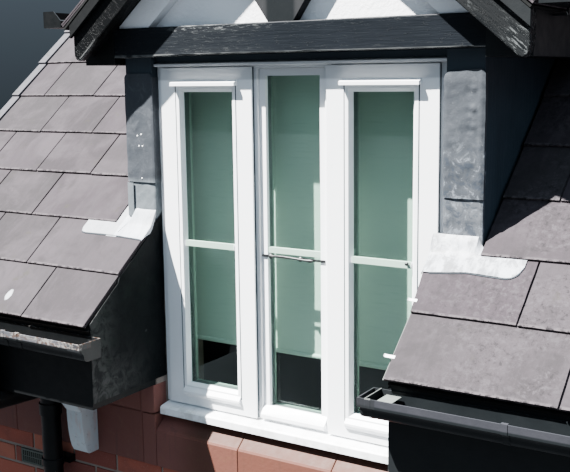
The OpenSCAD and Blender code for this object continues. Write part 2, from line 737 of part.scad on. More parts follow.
module verge_strips() color("gainsboro") both() {
    across(half_w - verge_w, half_w) {
        cover_section();
        rear_section();
    }
}

module eaves_box() color("black") {
    fascia_top = cover_under(fascia_y);
    block(hw, wall_x, fascia_y, fascia_y + board_t, -soffit_low, fascia_top);
    block(hw, wall_x, fascia_y, wall_y, -soffit_low - board_t + 0.5, -soffit_low + 0.5);
    for (x = [hw, wall_x - board_t]) across(x, x + board_t) polygon([[fascia_y, -soffit_low],
        [wall_y, -soffit_low], [wall_y, roof_under(wall_y)], [fascia_y + board_t, roof_under(fascia_y + board_t)],
        [fascia_y + board_t, fascia_top], [fascia_y, fascia_top]]);
}

module main_gutters() color("black") both() translate([0, fascia_y, -gutter_low]) {
    across(hw - gutter_past, half_w) channel(gutter_t) ogee(gutter_w, gutter_h);
    for (x = [hw - gutter_past, half_w - gutter_t]) across(x, x + gutter_t) ogee(gutter_w, gutter_h);
}

corbel_x = hw + corbel_past;
module corbels() color("gainsboro") both() across(corbel_x - corbel_w / 2, corbel_x + corbel_w / 2) {
    face = wall_y - stone_out;
    waist = -soffit_low - board_t - corbel_flare;
    foot = band_low + corbel_up;
    polygon([[face, -soffit_low - board_t], [face, foot],
        for (a = [90:-15:0]) [face - corbel_out + corbel_belly * (1 - cos(a)), waist - (waist - foot) * sin(a)],
        [face - corbel_out - corbel_flare * 0.75, -soffit_low - board_t]]);
}

pipe_x = -hw - pipe_past;
pipe_y = wall_y - stone_out - pipe_d / 2 - pipe_gap;
out_y = fascia_y - pipe_d / 2 - outlet_gap;
knee_z = -soffit_low - board_t - pipe_d / 2 - 2;
swan = pipe_y - out_y;
module tube(d, h) cylinder(d = d, h = h, $fn = 48);
// Gutter outlet, swan neck with its knuckles, and straight pipe
module downpipe() color("black") translate([pipe_x, 0, 0]) difference() {
    foot = knee_z - swan_drop;
    union() {
        translate([0, out_y, knee_z]) tube(pipe_d, -gutter_low - gutter_h - knee_z);
        translate([0, out_y, knee_z]) sphere(d = pipe_d + knuckle_t * 2, $fn = 48);
        translate([0, out_y, knee_z]) rotate([-90 - atan2(swan_drop, swan), 0, 0])
            tube(pipe_d, norm([swan, swan_drop]));
        translate([0, pipe_y, foot]) sphere(d = pipe_d + knuckle_t * 2, $fn = 48);
        translate([0, pipe_y, base_z]) tube(pipe_d, foot - base_z);
        // sockets
        translate([0, out_y, knee_z + 60]) tube(pipe_d + socket_t * 2, socket_h);
        translate([0, pipe_y, foot - 70 - socket_h]) tube(pipe_d + socket_t * 2, socket_h);
        // collars with their ears, fixed to the wall
        for (z = [band_low - 45 - collar_h, base_z + 60]) translate([0, pipe_y, z]) {
            tube(pipe_d + socket_t * 2 - 1, collar_h);
            block(-ear_w, ear_w, pipe_d / 2 - 4, wall_y - pipe_y, 0, collar_h);
        }
    }
    translate([0, pipe_y, base_z - 1]) tube(pipe_d - gutter_t * 2, 200);
}

module air_brick() color("darkslategray") translate([-hw - vent_past, 0, band_low - vent_down])
    block(0, vent_w, wall_y - 4, wall_y, -vent_h, 0);

place() front_wall();
place() left() side_wall();  // left_side_wall
place() side_wall();  // right_side_wall
place() back_wall();
place() stone_course();
place() stone_sill();
place() window_frame();
place() timber_sill();
place() left() casement();  // left_casement
place() centre_light();
place() casement();  // right_casement
place() window_glass();
place() window_latch();
place() roller_blind();
place() blind_roller();
place() left() post();  // left_post
place() post();  // right_post
place() left() cheek();  // left_cheek
place() cheek();  // right_cheek
place() window_beam();
place() head_packer();
place() post_lead();
place() lead_aprons();
place() box_end_lead();
place() gable_panel();
place() gable_timbers();
place() left() bargeboard();  // left_bargeboard
place() bargeboard();  // right_bargeboard
place() left() dormer_roof();  // left_dormer_roof
place() dormer_roof();  // right_dormer_roof
place() dormer_ridge();
place() dormer_eaves();
place() dormer_gutters();
place() valley_lead();
place() left() main_roof();  // left_main_roof
place() main_roof();  // right_main_roof
place() upper_main_roof();
place() main_ridge();
place() verge_strips();
place() left() eaves_box();  // left_eaves_box
place() eaves_box();  // right_eaves_box
place() main_gutters();
place() corbels();
place() downpipe();
place() air_brick();
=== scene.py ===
"""Looks of the wall dormer: its slates, bricks, leadwork, paint and glass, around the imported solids."""
import json
import math
import random

import bpy
import bmesh
from mathutils import Matrix, Vector, noise

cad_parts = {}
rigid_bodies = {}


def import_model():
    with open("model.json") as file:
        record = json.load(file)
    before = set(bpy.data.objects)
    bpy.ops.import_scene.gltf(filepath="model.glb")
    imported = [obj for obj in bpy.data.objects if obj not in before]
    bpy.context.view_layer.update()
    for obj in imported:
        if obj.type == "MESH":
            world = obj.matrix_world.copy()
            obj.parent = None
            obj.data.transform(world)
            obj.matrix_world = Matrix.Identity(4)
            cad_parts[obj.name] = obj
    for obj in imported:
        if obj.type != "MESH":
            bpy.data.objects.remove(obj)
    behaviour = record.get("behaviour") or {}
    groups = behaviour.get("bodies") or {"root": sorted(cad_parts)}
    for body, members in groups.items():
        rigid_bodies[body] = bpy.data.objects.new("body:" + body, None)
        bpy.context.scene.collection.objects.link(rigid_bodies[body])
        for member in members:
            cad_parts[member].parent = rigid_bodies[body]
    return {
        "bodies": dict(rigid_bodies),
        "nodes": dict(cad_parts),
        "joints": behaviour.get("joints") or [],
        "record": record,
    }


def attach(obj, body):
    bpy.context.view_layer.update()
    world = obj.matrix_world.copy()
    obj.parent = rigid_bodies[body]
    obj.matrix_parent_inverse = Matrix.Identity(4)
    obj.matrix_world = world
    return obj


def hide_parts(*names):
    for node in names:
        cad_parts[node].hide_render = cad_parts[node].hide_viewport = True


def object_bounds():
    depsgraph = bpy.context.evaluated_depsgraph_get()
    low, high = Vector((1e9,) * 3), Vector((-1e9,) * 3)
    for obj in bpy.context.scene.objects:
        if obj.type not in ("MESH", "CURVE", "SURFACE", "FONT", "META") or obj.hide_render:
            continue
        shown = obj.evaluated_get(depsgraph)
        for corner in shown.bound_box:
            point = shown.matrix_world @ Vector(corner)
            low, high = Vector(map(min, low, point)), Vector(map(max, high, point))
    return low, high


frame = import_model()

cad_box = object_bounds()

# Sizes, in the millimetres of the source
# X runs along the wall from the dormer's axis. Y runs into the house and Z up,
# both from the edge of the eaves slates.
EAVES_Y, EAVES_Z = cad_box[0][1] + 0.075, 1.057  # metres
PITCH = math.radians(40)
SLOPE, SIN, COS = math.tan(PITCH), math.sin(PITCH), math.cos(PITCH)
OPENING, POST_OUT = 555, 673
WALL_X, WALL_Y, WALL_T, SIDE_T = 1772, 352, 290, 215
GAUGE, SLATE_W, SLATE_L, UNDER_L, SLATE_T, SLATE_STEP = 230, 300, 535, 305, 7, 7.6
VERGE_IN, VERGE_OUT = 1760, 1817
ROOF_RUN = 13 * GAUGE * COS
REAR_Y = ROOF_RUN + SIDE_T
BACK_Y = REAR_Y + 30
COURSE_H, BRICK_L, BRICK_STEP = 75, 215, 225
MORTAR_IN, BRICK_IN = 5, 10.7
BASE_Z, BAND_LOW, STONE_ARRIS, SILL_Z, BAND_TOP = -1057, -607, -467, -410, -297
STONE_Y, STONE_BACK, STONE_GAP = 340, 412, 2.2
BEAM_Z, BEAM_TOP = 885, 982
DORMER_EDGE, DORMER_RISE, DORMER_FRONT = 860, 1005, 260
DORMER_TOP = DORMER_RISE + DORMER_EDGE * SLOPE
COVER = 32
VENT_LEFT, VENT_RIGHT, VENT_LOW, VENT_HIGH = -1288, -1073, -747, -685


def at(x, y, z):
    """A point of the source in the frame's metres."""
    return Vector((x / 1000, y / 1000 + EAVES_Y, z / 1000 + EAVES_Z))


def in_source(point):
    return point.x * 1000, (point.y - EAVES_Y) * 1000, (point.z - EAVES_Z) * 1000


def way(x, y, z):
    """A step of so many millimetres."""
    return Vector((x, y, z)) / 1000


def roof_z(y):
    return y * SLOPE


def dormer_z(x, down=0):
    return DORMER_TOP - down / COS - abs(x) * SLOPE


def sunk(s):
    """How far the second course's face has sunk at a place up the slope."""
    return SLATE_STEP * (s - GAUGE) / GAUGE


def spaced(a, b, step):
    count = max(1, round(abs(b - a) / step))
    return [a + (b - a) * i / count for i in range(count + 1)]


def shares(count):
    return [i / count for i in range(count + 1)]


def kept(value):
    return min(1.0, max(0.0, value))


def eased(value):
    value = kept(value)
    return value * value * (3 - 2 * value)


# Finishes
class Socket:
    """An output in a tree of nodes. Sums on it add Math nodes."""

    def __init__(self, nodes, link):
        self.nodes, self.link = nodes, link

    def maths(self, operation, *values, clamp=False):
        settings = {"operation": operation, "use_clamp": clamp}
        return self.nodes.add("ShaderNodeMath", settings, dict(enumerate(values)))

    def __add__(self, other):
        return self.maths("ADD", self, other)

    def __radd__(self, other):
        return self.maths("ADD", other, self)

    def __sub__(self, other):
        return self.maths("SUBTRACT", self, other)

    def __rsub__(self, other):
        return self.maths("SUBTRACT", other, self)

    def __mul__(self, other):
        return self.maths("MULTIPLY", self, other)

    def __rmul__(self, other):
        return self.maths("MULTIPLY", other, self)

    def __gt__(self, other):
        return self.maths("GREATER_THAN", self, other)

    def __lt__(self, other):
        return self.maths("LESS_THAN", self, other)

    def size(self):
        return self.maths("ABSOLUTE", self)

    def rest(self):
        return self.maths("FRACT", self)

    def kept(self):
        return self.maths("ADD", self, 0.0, clamp=True)

    def rise(self, low, high):
        """0 below low, 1 above high and smooth between; falls where low is above high."""
        if low > high:
            return 1 - self.rise(high, low)
        return self.nodes.add("ShaderNodeMapRange", {"interpolation_type": "SMOOTHSTEP"},
                              {"Value": self, "From Min": low, "From Max": high})


class Nodes:
    """A tree of nodes that are added by name."""

    def __init__(self, tree):
        self.tree = tree

    def add(self, kind, settings=None, sockets=None, out=0):
        node = self.tree.nodes.new(kind)
        for key, value in (settings or {}).items():
            if key == "stops":
                while len(node.color_ramp.elements) < len(value):
                    node.color_ramp.elements.new(0.5)
                for stop, (place, colour) in zip(node.color_ramp.elements, value):
                    stop.position, stop.color = place, (*colour, 1)
            else:
                setattr(node, key, value)
        for key, value in (sockets or {}).items():
            entry = node.inputs[key]
            if isinstance(value, Socket):
                self.tree.links.new(value.link, entry)
            else:
                entry.default_value = (*value, 1) if entry.type == "RGBA" else value
        return Socket(self, node.outputs[out])

    def axis(self, name, vector=None):
        return self.add("ShaderNodeSeparateXYZ", None, {"Vector": vector or self.here}, out=name)


class Finish(Nodes):
    """A paint, metal, stone or cloth, whose tone is laid on coat by coat."""

    def __init__(self, name, roughness=0.6, gloss=0.5, **fixed):
        self.material, self.tone = bpy.data.materials.new(name), None
        self.material.use_nodes = True
        super().__init__(self.material.node_tree)
        self.shader = self.tree.nodes["Principled BSDF"]
        for key, value in dict(fixed, Roughness=roughness, Specular_IOR_Level=gloss).items():
            self.shader.inputs[key.replace("_", " ")].default_value = value
        self.here = self.add("ShaderNodeTexCoord", out="Object")

    def across(self, low, high):
        return self.axis("X").rise(low / 1000, high / 1000)

    def inward(self, low, high):
        return self.axis("Y").rise(EAVES_Y + low / 1000, EAVES_Y + high / 1000)

    def upward(self, low, high):
        return self.axis("Z").rise(EAVES_Z + low / 1000, EAVES_Z + high / 1000)

    def tint(self, name="tint"):
        return self.add("ShaderNodeAttribute", {"attribute_name": name}, out="Fac")

    def facing(self, axis):
        return self.axis(axis, self.add("ShaderNodeNewGeometry", out="Normal"))

    def ramp(self, value, *stops):
        return self.add("ShaderNodeValToRGB", {"stops": stops}, {0: value})

    def mix(self, mask, a, b):
        return self.add("ShaderNodeMix", {"data_type": "RGBA"}, {0: mask, 6: a, 7: b}, out=2)

    def placed(self, scale=(1, 1, 1), turn=(0, 0, 0), vector=None):
        sockets = {"Vector": vector or self.here, "Scale": scale, "Rotation": turn}
        return self.add("ShaderNodeMapping", None, sockets)

    def cloud(self, scale, detail=3.0, rough=0.55, twist=0.0, vector=None):
        sockets = {"Vector": vector or self.here, "Scale": scale, "Detail": detail,
                   "Roughness": rough, "Distortion": twist}
        return self.add("ShaderNodeTexNoise", None, sockets)

    def drawn(self, scale, detail, rough, **frame):
        """A cloud drawn out along an axis, as grain, streaks and runs are."""
        return self.cloud(1, detail, rough, vector=self.placed(scale, **frame))

    def base(self, mask, low, high):
        self.tone = self.mix(mask, low, high)

    def coat(self, mask, colour):
        self.tone = self.mix(mask, self.tone, colour)

    def wear(self, height, **sockets):
        """Links the tone, a bump in metres and what else varies over the surface."""
        bump = self.add("ShaderNodeBump", None, {"Height": height, "Strength": 1.0, "Distance": 1.0})
        for key, value in dict(sockets, Base_Color=self.tone, Normal=bump).items():
            self.tree.links.new(value.link, self.shader.inputs[key.replace("_", " ")])
        return self


def plain_finish(name, roughness, gloss, patches, low, high, bump, spots=None):
    """Two tones in clouds, a third in spots over them and a fine bump."""
    f = Finish(name, roughness, gloss)
    f.base(f.cloud(*patches), low, high)
    if spots:
        scale, detail, start, end, share, colour = spots
        f.coat(f.cloud(scale, detail).rise(start, end) * share, colour)
    scale, detail, height = bump
    return f.wear(f.cloud(scale, detail) * height)


def metal_finish(name, base, worn, metallic):
    f = Finish(name, 0.38, Metallic=metallic)
    f.base(f.cloud(60, 4).rise(0.45, 0.75), base, worn)
    return f.wear(f.cloud(200, 3) * 0.0003)


def brick_finish():
    f = Finish("red_brick", 0.88, 0.15)
    f.tone = f.ramp(f.tint(), (0.0, (0.0853, 0.0310, 0.0279)), (0.25, (0.1938, 0.0558, 0.0418)),
                    (0.6, (0.2558, 0.0728, 0.0496)), (1.0, (0.3100, 0.1147, 0.0775)))
    f.coat(f.cloud(9, 4).rise(0.45, 0.8) * 0.55, (0.1162, 0.0465, 0.0403))
    f.coat(f.cloud(240, 2).rise(0.62, 0.75) * 0.4, (0.3410, 0.2015, 0.1705))
    return f.wear(f.cloud(180, 4) * 0.0012 + f.cloud(35, 2) * 0.0014, Roughness=0.8 + f.cloud(60) * 0.18)


def terracotta_finish():
    """Fine-faced terracotta, streaked by water; painted shade darkens the sunlit part of the sill, with dirt
    along its ledge there.
    """
    f = Finish("smooth_terracotta", 0.5, 0.12)
    f.base(f.tint(), (0.118, 0.045, 0.037), (0.148, 0.058, 0.048))
    f.coat(f.cloud(5, 5, 0.6).rise(0.35, 0.75) * 0.6, (0.110, 0.044, 0.040))
    f.coat(f.cloud(42, 4, 0.6).rise(0.55, 0.75) * 0.5, (0.138, 0.066, 0.045))
    f.coat(f.drawn((38, 38, 2.5), 3, 0.6).rise(0.56, 0.75) * 0.45, (0.075, 0.038, 0.034))
    sunlit_part = f.across(-500, -340)
    # painted shade: the part of the sill that the key light reaches is darkened so that it reads less bright
    f.coat(sunlit_part * 0.50, (0.026, 0.010, 0.001))
    ledge = f.upward(STONE_ARRIS - 4, STONE_ARRIS + 6)
    f.coat(sunlit_part * ledge * (f.cloud(26, 4) * 0.5 + 0.25), (0.030, 0.018, 0.012))
    return f.wear(f.cloud(70, 4) * 0.0008, Roughness=0.42 + f.cloud(30) * 0.3)


def slate_finish():
    """Purple-grey slates: smooth and clouded on the left, scaly with lichen towards the right."""
    f = Finish("weathered_slate", 0.75, 0.08)
    f.tone = f.ramp(f.tint(), (0.0, (0.0164, 0.0134, 0.0154)), (0.35, (0.0224, 0.0184, 0.0213)),
                    (0.7, (0.0273, 0.0228, 0.0259)), (1.0, (0.0340, 0.0290, 0.0327)))
    hue = (f.tint() * 7.31).rest()
    f.coat(hue.rise(0.45, 0.95) * 0.55, (0.0280, 0.0218, 0.0265))
    f.coat(hue.rise(0.40, 0.05) * 0.45, (0.0198, 0.0191, 0.0195))
    f.coat(f.across(100, -1300) * 0.35, (0.0193, 0.0163, 0.0185))
    f.coat(f.cloud(4.2, 5, 0.6, 0.6).rise(0.42, 0.66) * 0.7, (0.0386, 0.0324, 0.0370))
    f.coat(f.cloud(7, 4, 0.6, 0.8).rise(0.50, 0.68) * 0.55, (0.0166, 0.0146, 0.0160))
    in_slope = f.placed(turn=(-PITCH, 0, 0))
    runs = f.drawn((46, 5, 46), 4, 0.65, vector=in_slope)
    f.coat(runs.rise(0.50, 0.70) * 0.28, (0.0169, 0.0151, 0.0168))
    f.coat(runs.rise(0.46, 0.30) * 0.25, (0.0386, 0.0344, 0.0382))
    scaly, right = f.cloud(52, 7, 0.78, 0.3), f.across(300, 950)
    patch = right * f.cloud(5, 3).rise(0.38, 0.58)
    f.coat(scaly.rise(0.51, 0.60) * (0.14 + patch * 0.6), (0.0454, 0.0407, 0.0450))
    f.coat(scaly.rise(0.46, 0.39) * (0.16 + patch * 0.75), (0.0116, 0.0104, 0.0115))
    moss = f.cloud(15, 5, 0.7).rise(0.58, 0.68) * f.cloud(2.6, 2).rise(0.5, 0.62)
    f.coat(moss * 0.45, (0.0241, 0.0227, 0.0161))
    spot_x = (f.axis("X") + 0.9795) * 80
    spot_y = (f.axis("Y", in_slope) - (EAVES_Y * COS + EAVES_Z * SIN + 0.081)) * 42
    white_spot = spot_x * spot_x + spot_y * spot_y + f.cloud(60, 3) * 1.2
    f.coat(white_spot.rise(2.0, 1.2) * 0.9, (0.30, 0.31, 0.33))
    up = f.tint("up")
    f.coat(up.rise(0.0115, 0.0045) * f.cloud(36, 4, 0.7).rise(0.40, 0.56) * 0.7, (0.0618, 0.0537, 0.0575))
    f.coat(up.rise(0.0075, 0.0025) * f.cloud(75, 3, 0.7).rise(0.52, 0.58) * 0.85, (0.0058, 0.0051, 0.0059))
    return f.wear(scaly * (0.0005 + right * 0.0008) + f.cloud(8, 3) * 0.0016 + f.cloud(210, 3) * 0.0004,
                  Roughness=0.62 + scaly * 0.3)


def corbel_finish():
    """White-painted corbels, grubby and faintly pink where the paint is thin."""
    f = Finish("painted_corbel", 0.6)
    f.base(f.cloud(9, 4), (0.360, 0.402, 0.432), (0.456, 0.492, 0.516))
    f.coat(f.drawn((60, 30, 9), 4, 0.6).rise(0.5, 0.64) * 0.5, (0.432, 0.312, 0.288))
    f.coat(f.cloud(70, 4).rise(0.6, 0.7) * 0.4, (0.156, 0.144, 0.132))
    return f.wear(f.cloud(60, 3) * 0.0006)


def white_paint_finish(name, sashes=False):
    """Thick white gloss with fine brush grain, grime near the sill and painted shade, darker and bluer,
    under the beam.

    On the sashes it has painted shade in the rebate behind the glass and painted green-grey shade on the
    bars."""
    f = Finish(name, 0.4, 0.4)
    f.base(f.cloud(3.5, 3), (0.73, 0.75, 0.77), (0.77, 0.785, 0.80))
    f.coat(f.cloud(26, 5, 0.7).rise(0.67, 0.74) * 0.3, (0.50, 0.51, 0.51))
    f.coat(f.upward(-317, -397) * f.cloud(18, 5, 0.7).rise(0.45, 0.68) * 0.5, (0.36, 0.35, 0.32))
    # painted shade under the beam: the head of the frame is darkened and blued
    f.coat(f.upward(797, 806) * 0.85, (0.42, 0.435, 0.45))
    if sashes:
        x, y = f.axis("X").size(), f.axis("Y")
        centre = x < 0.131
        behind = y - centre * 0.0222 > EAVES_Y + 0.4197
        room_side = y - centre * 0.0150 > EAVES_Y + 0.4455
        # painted shade in the rebate behind the glass: near black at the front, green-grey deeper in
        rebate_shade = behind * (f.facing("Y").size() < 0.5)
        f.coat(rebate_shade * 0.93, f.mix(room_side, (0.030, 0.042, 0.040), (0.16, 0.21, 0.18)))
        # painted green-grey shade on the bars
        bar = f.upward(219, 220.3) * f.upward(242.5, 241.5)
        f.coat(bar * ((x < 0.104) + (x > 0.231) * (x < 0.438)), (0.26, 0.36, 0.30))
    return f.wear(f.drawn((260, 260, 9), 3, 0.6) * 0.00025 + f.cloud(45, 2) * 0.0003,
                  Roughness=0.3 + f.cloud(15) * 0.25)


def black_paint_finish():
    f = Finish("black_board_paint", 0.45, 0.12)
    along = f.drawn((90, 90, 9), 4, 0.65)
    f.base(f.cloud(8, 4), (0.0150, 0.0215, 0.0285), (0.0290, 0.0400, 0.0510))
    fleck = f.drawn((150, 150, 30), 5, 0.75).rise(0.67, 0.70) * f.cloud(6, 3).rise(0.5, 0.62)
    f.coat(fleck * 0.5, (0.10, 0.105, 0.11))
    return f.wear(along * 0.0008 + f.cloud(150, 2) * 0.0002, Roughness=0.38 + along * 0.3)


def gable_timber_finish():
    """The framing: near black on the king post, chalky blue-grey on the raking faces."""
    f = Finish("chalky_black_paint", 0.55, 0.08)
    along = f.drawn((60, 60, 14), 4, 0.65)
    f.base(f.cloud(8, 4), (0.0024, 0.0035, 0.0043), (0.0050, 0.0064, 0.0073))
    raking = f.axis("X").size().rise(0.045, 0.060)
    f.coat(raking * 0.75, f.mix(along, (0.0130, 0.0135, 0.0145), (0.0270, 0.0280, 0.0295)))
    f.coat(f.cloud(70, 5, 0.75).rise(0.64, 0.70) * 0.3, (0.08, 0.085, 0.09))
    return f.wear(along * 0.0010)


def beam_finish():
    """The beam: paint gone thin along its arrises on the left, where wood and pale flakes show."""
    f = Finish("peeling_beam_paint", 0.45, 0.08)
    along = f.drawn((7, 60, 95), 5, 0.7)
    f.base(f.cloud(8, 4), (0.0029, 0.0040, 0.0056), (0.0050, 0.0066, 0.0089))
    left = f.across(50, -300)
    edges = f.upward(BEAM_TOP - 32, BEAM_TOP - 6) + f.upward(BEAM_Z + 28, BEAM_Z + 4)
    thin = (left * 0.30 + edges * left * 0.6 + 0.08).kept() * f.across(-600, -420)
    f.coat(along.rise(0.48, 0.66) * thin * 0.8, (0.0150, 0.0176, 0.0190))
    flakes = f.drawn((24, 110, 130), 6, 0.8, turn=(0, math.radians(8), 0))
    bare_part = left * f.across(-470, -400)
    ragged_edge = f.upward(BEAM_TOP - 30, BEAM_TOP - 8) * bare_part
    f.coat(flakes.rise(0.545, 0.58) * (ragged_edge * 0.9 + bare_part * 0.10 + edges * 0.08).kept(),
           (0.1056, 0.1124, 0.1124))
    f.coat(flakes.rise(0.45, 0.40) * ragged_edge * 0.8, (0.0016, 0.0020, 0.0024))
    f.coat(f.cloud(15, 3, 0.8).rise(0.72, 0.76) * 0.6, (0.0748, 0.0816, 0.0884))
    # pale patches along the lower arris: rubbed paint, and a painted highlight of the arris as well
    arris = f.upward(BEAM_Z + 6.2, BEAM_Z + 2.6) * f.cloud(14, 3).rise(0.32, 0.5)
    f.coat(arris * 0.8, (0.0816, 0.0850, 0.0850))
    return f.wear(along * 0.0012 + flakes.rise(0.585, 0.62) * 0.0005, Roughness=0.42 + thin * 0.35)


def barge_finish():
    """Bargeboards: near black on the left, darkened there as painted shade, with a painted highlight on the
    lower arris of its foot; bare grey-green grain and pale flakes on the right.
    """
    f = Finish("weathered_bargeboard", 0.5, 0.1)
    with_board = f.placed(turn=(0, -PITCH, 0))
    grain = f.drawn((7, 60, 95), 5, 0.7, vector=with_board)
    f.base(f.cloud(9, 4), (0.0020, 0.0025, 0.0031), (0.0043, 0.0053, 0.0060))
    bare = f.across(250, 500) * grain.rise(0.36, 0.58)
    f.coat(bare * 0.7, f.mix(grain.rise(0.45, 0.65), (0.0015, 0.0022, 0.0028), (0.0031, 0.0041, 0.0048)))
    patch = f.drawn((26, 90, 120), 6, 0.82, vector=with_board).rise(0.53, 0.57)
    ends = f.across(740, 810) + f.across(700, 640) * f.across(500, 600) * 0.45
    f.coat(patch * (ends * 0.9 + 0.03).kept() * f.across(100, 300), (0.0650, 0.0710, 0.0725))
    # painted shade: the left board, which lies in shade, is made nearly black
    f.coat(f.across(50, -100) * 0.85, (0.0007, 0.0009, 0.0011))
    # painted highlight: a pale patchy line along the lower front arris of the left foot
    arris = f.tint("up").rise(0.5, 0.9) * f.cloud(16, 3).rise(0.30, 0.45) * f.across(-700, -745)
    f.coat(arris * 0.9, (0.0620, 0.0640, 0.0640))
    return f.wear(grain * 0.0016 + patch * 0.0006, Roughness=0.4 + bare * 0.4)


def render_finish():
    f = Finish("white_render", 0.85)
    f.base(f.cloud(4, 4), (0.78, 0.80, 0.825), (0.86, 0.87, 0.89))
    f.coat(f.cloud(30, 4).rise(0.6, 0.75) * 0.2, (0.6, 0.6, 0.6))
    return f.wear(f.cloud(70, 4) * 0.0020 + f.cloud(260, 2) * 0.0005)


def lead_finish():
    """Sheet lead: dull blue-grey with a cloudy patina, darker stains and pale scuffs."""
    f = Finish("dull_lead", 0.5, 0.15)
    f.base(f.cloud(7, 5, 0.6, 0.5), (0.026, 0.030, 0.036), (0.040, 0.0445, 0.051))
    patina = f.cloud(30, 5, 0.65, 0.8)
    f.coat(patina.rise(0.50, 0.66) * 0.45, (0.058, 0.064, 0.072))
    low = f.upward(463, 433)
    f.coat(low * (0.35 + patina * 0.5), (0.082, 0.089, 0.099))
    stain = f.cloud(13, 5, 0.7) * 0.6 + f.drawn((40, 40, 5), 3, 0.6) * 0.45
    f.coat(stain.rise(0.50, 0.80) * (0.45 + low * 0.3), (0.016, 0.020, 0.025))
    seam = f.upward(643, 543) * f.across(200, 400)
    blot = f.cloud(26, 5, 0.72, 0.6)
    f.coat(blot.rise(0.50, 0.60) * seam * 0.7, (0.020, 0.026, 0.036))
    f.coat(blot.rise(0.46, 0.38) * (seam + low * 0.4).kept() * 0.8, (0.115, 0.130, 0.150))
    f.coat(f.across(-200, -400) * low * 0.45, (0.105, 0.125, 0.135))
    f.coat(f.cloud(95, 4, 0.7).rise(0.66, 0.72) * 0.5, (0.13, 0.135, 0.14))
    return f.wear(f.cloud(24, 4) * 0.0022 + patina * 0.0004, Roughness=0.36 + patina * 0.3)


def pale_lead_finish():
    """Sun-bleached lead of the aprons, streaked down the slope."""
    f = Finish("bleached_lead", 0.5, 0.4)
    f.base(f.cloud(10, 4), (0.25, 0.27, 0.30), (0.34, 0.36, 0.39))
    right = f.across(100, 300)
    f.coat(f.drawn((34, 9, 9), 4, 0.65).rise(0.46, 0.62) * (0.22 + right * 0.55), (0.070, 0.075, 0.085))
    f.coat(f.cloud(21, 5, 0.72, 0.5).rise(0.50, 0.60) * right * 0.7, (0.075, 0.080, 0.088))
    f.coat(f.across(-686, -694) * 0.65, (0.135, 0.138, 0.146))
    f.coat(f.cloud(38, 4, 0.6, 0.8).rise(0.60, 0.72) * 0.35, (0.11, 0.115, 0.12))
    return f.wear(f.cloud(30, 3) * 0.0016, Roughness=0.36 + f.cloud(30) * 0.3)


def box_lead_finish():
    """Lead on the boxed ends of the eaves: near black as painted shade, green-grey, paler and scaly at its
    front foot.
    """
    f = Finish("stained_lead", 0.6, 0.04)
    # the near-black base tone is painted shade on the box ends
    f.base(f.cloud(6, 5, 0.6, 0.6), (0.0007, 0.0014, 0.0020), (0.0020, 0.0030, 0.0036))
    scaly = f.cloud(24, 5, 0.7, 1.0)
    f.coat((f.inward(185, 45) * 0.7 + 0.08) * scaly.rise(0.36, 0.6), (0.032, 0.034, 0.034))
    foot = f.upward(-90, -240) * f.inward(365, 75)
    f.coat(foot * 0.6, f.mix(scaly.rise(0.35, 0.65), (0.012, 0.013, 0.014), (0.052, 0.053, 0.052)))
    f.coat(f.cloud(11, 4).rise(0.55, 0.7) * 0.4, (0.0060, 0.0100, 0.0082))
    f.coat(f.cloud(16, 2, 0.8).rise(0.72, 0.78) * 0.8, (0.035, 0.038, 0.038))
    return f.wear(scaly * 0.0012 + f.cloud(14, 3) * 0.003, Roughness=0.42 + scaly * 0.35)


def iron_finish(name, roughness, dust, leafy=False):
    """Black paint, dusty on what faces up. A leafy gutter has a worn lip and dry leaves too."""
    f = Finish(name, roughness, 0.12)
    f.base(f.cloud(12, 4), (0.0032, 0.0042, 0.0048), (0.0068, 0.0082, 0.0092))
    f.coat(f.across(100, -300) * 0.75, (0.0006, 0.0008, 0.0010))
    up = f.facing("Z")
    f.coat(up.rise(0.15, 0.85) * (0.55 + f.cloud(25, 4) * 0.5), dust)
    if leafy:
        left, front = f.across(100, -400), f.axis("Y") < EAVES_Y - 0.020
        lip = f.upward(-59, -54) * front * (0.55 + f.cloud(30, 4) * 0.5)
        f.coat(lip, f.mix(left, (0.0235, 0.0240, 0.0285), (0.060, 0.062, 0.070)))
        f.coat((f.axis("X").size() < 0.5605) * 0.7, (0.0095, 0.0105, 0.0115))
        trail = f.drawn((22, 70, 70), 5, 0.75).rise(0.46, 0.54) * f.cloud(3.1, 3).rise(0.36, 0.46)
        f.coat(trail * (up.rise(0.5, 0.9) + lip).kept() * left * 0.9,
               f.mix(f.cloud(70, 3).rise(0.48, 0.55), (0.040, 0.020, 0.011), (0.16, 0.15, 0.14)))
    return f.wear(f.cloud(80, 3) * 0.0004, Roughness=roughness - 0.06 + f.cloud(30) * 0.25)


def glass_finish():
    """Clear glazing: what it reflects is mixed over what is seen through it."""
    f = Finish("window_glass")
    clear = f.add("ShaderNodeBsdfTransparent", None, {"Color": (0.86, 0.94, 0.91)})
    gloss = f.add("ShaderNodeBsdfGlossy", None, {"Color": (0.95, 1.0, 0.99), "Roughness": 0.02})
    facing = f.add("ShaderNodeLayerWeight", None, {"Blend": 0.3}, out="Fresnel")
    film = f.cloud(5, 3).rise(0.3, 0.8) * 0.016
    both = f.add("ShaderNodeMixShader", None, {0: (facing * 0.10 + 0.018 + film).kept(), 1: clear, 2: gloss})
    f.tree.nodes.remove(f.shader)
    f.tree.links.new(both.link, f.tree.nodes["Material Output"].inputs["Surface"])
    return f


def blind_finish():
    f = Finish("blind_cloth", 0.9, Sheen_Weight=0.2)
    warp, weft = (f.add("ShaderNodeTexWave", {"bands_direction": axis},
                        {"Vector": f.here, "Scale": 190, "Distortion": 0.4}) for axis in "XZ")
    f.base(f.cloud(2.5, 3), (0.375, 0.432, 0.384), (0.425, 0.482, 0.432))
    f.coat(f.drawn((14, 1, 220), 3, 0.6).rise(0.5, 0.75) * 0.25, (0.245, 0.320, 0.290))
    return f.wear((warp + weft) * 0.00012)


def bare_wood_finish():
    f = Finish("roof_boarding", 0.8, 0.1)
    grain = f.drawn((4, 60, 60), 4, 0.6)
    f.base(grain, (0.0030, 0.0034, 0.0034), (0.0056, 0.0060, 0.0060))
    return f.wear(grain * 0.001)


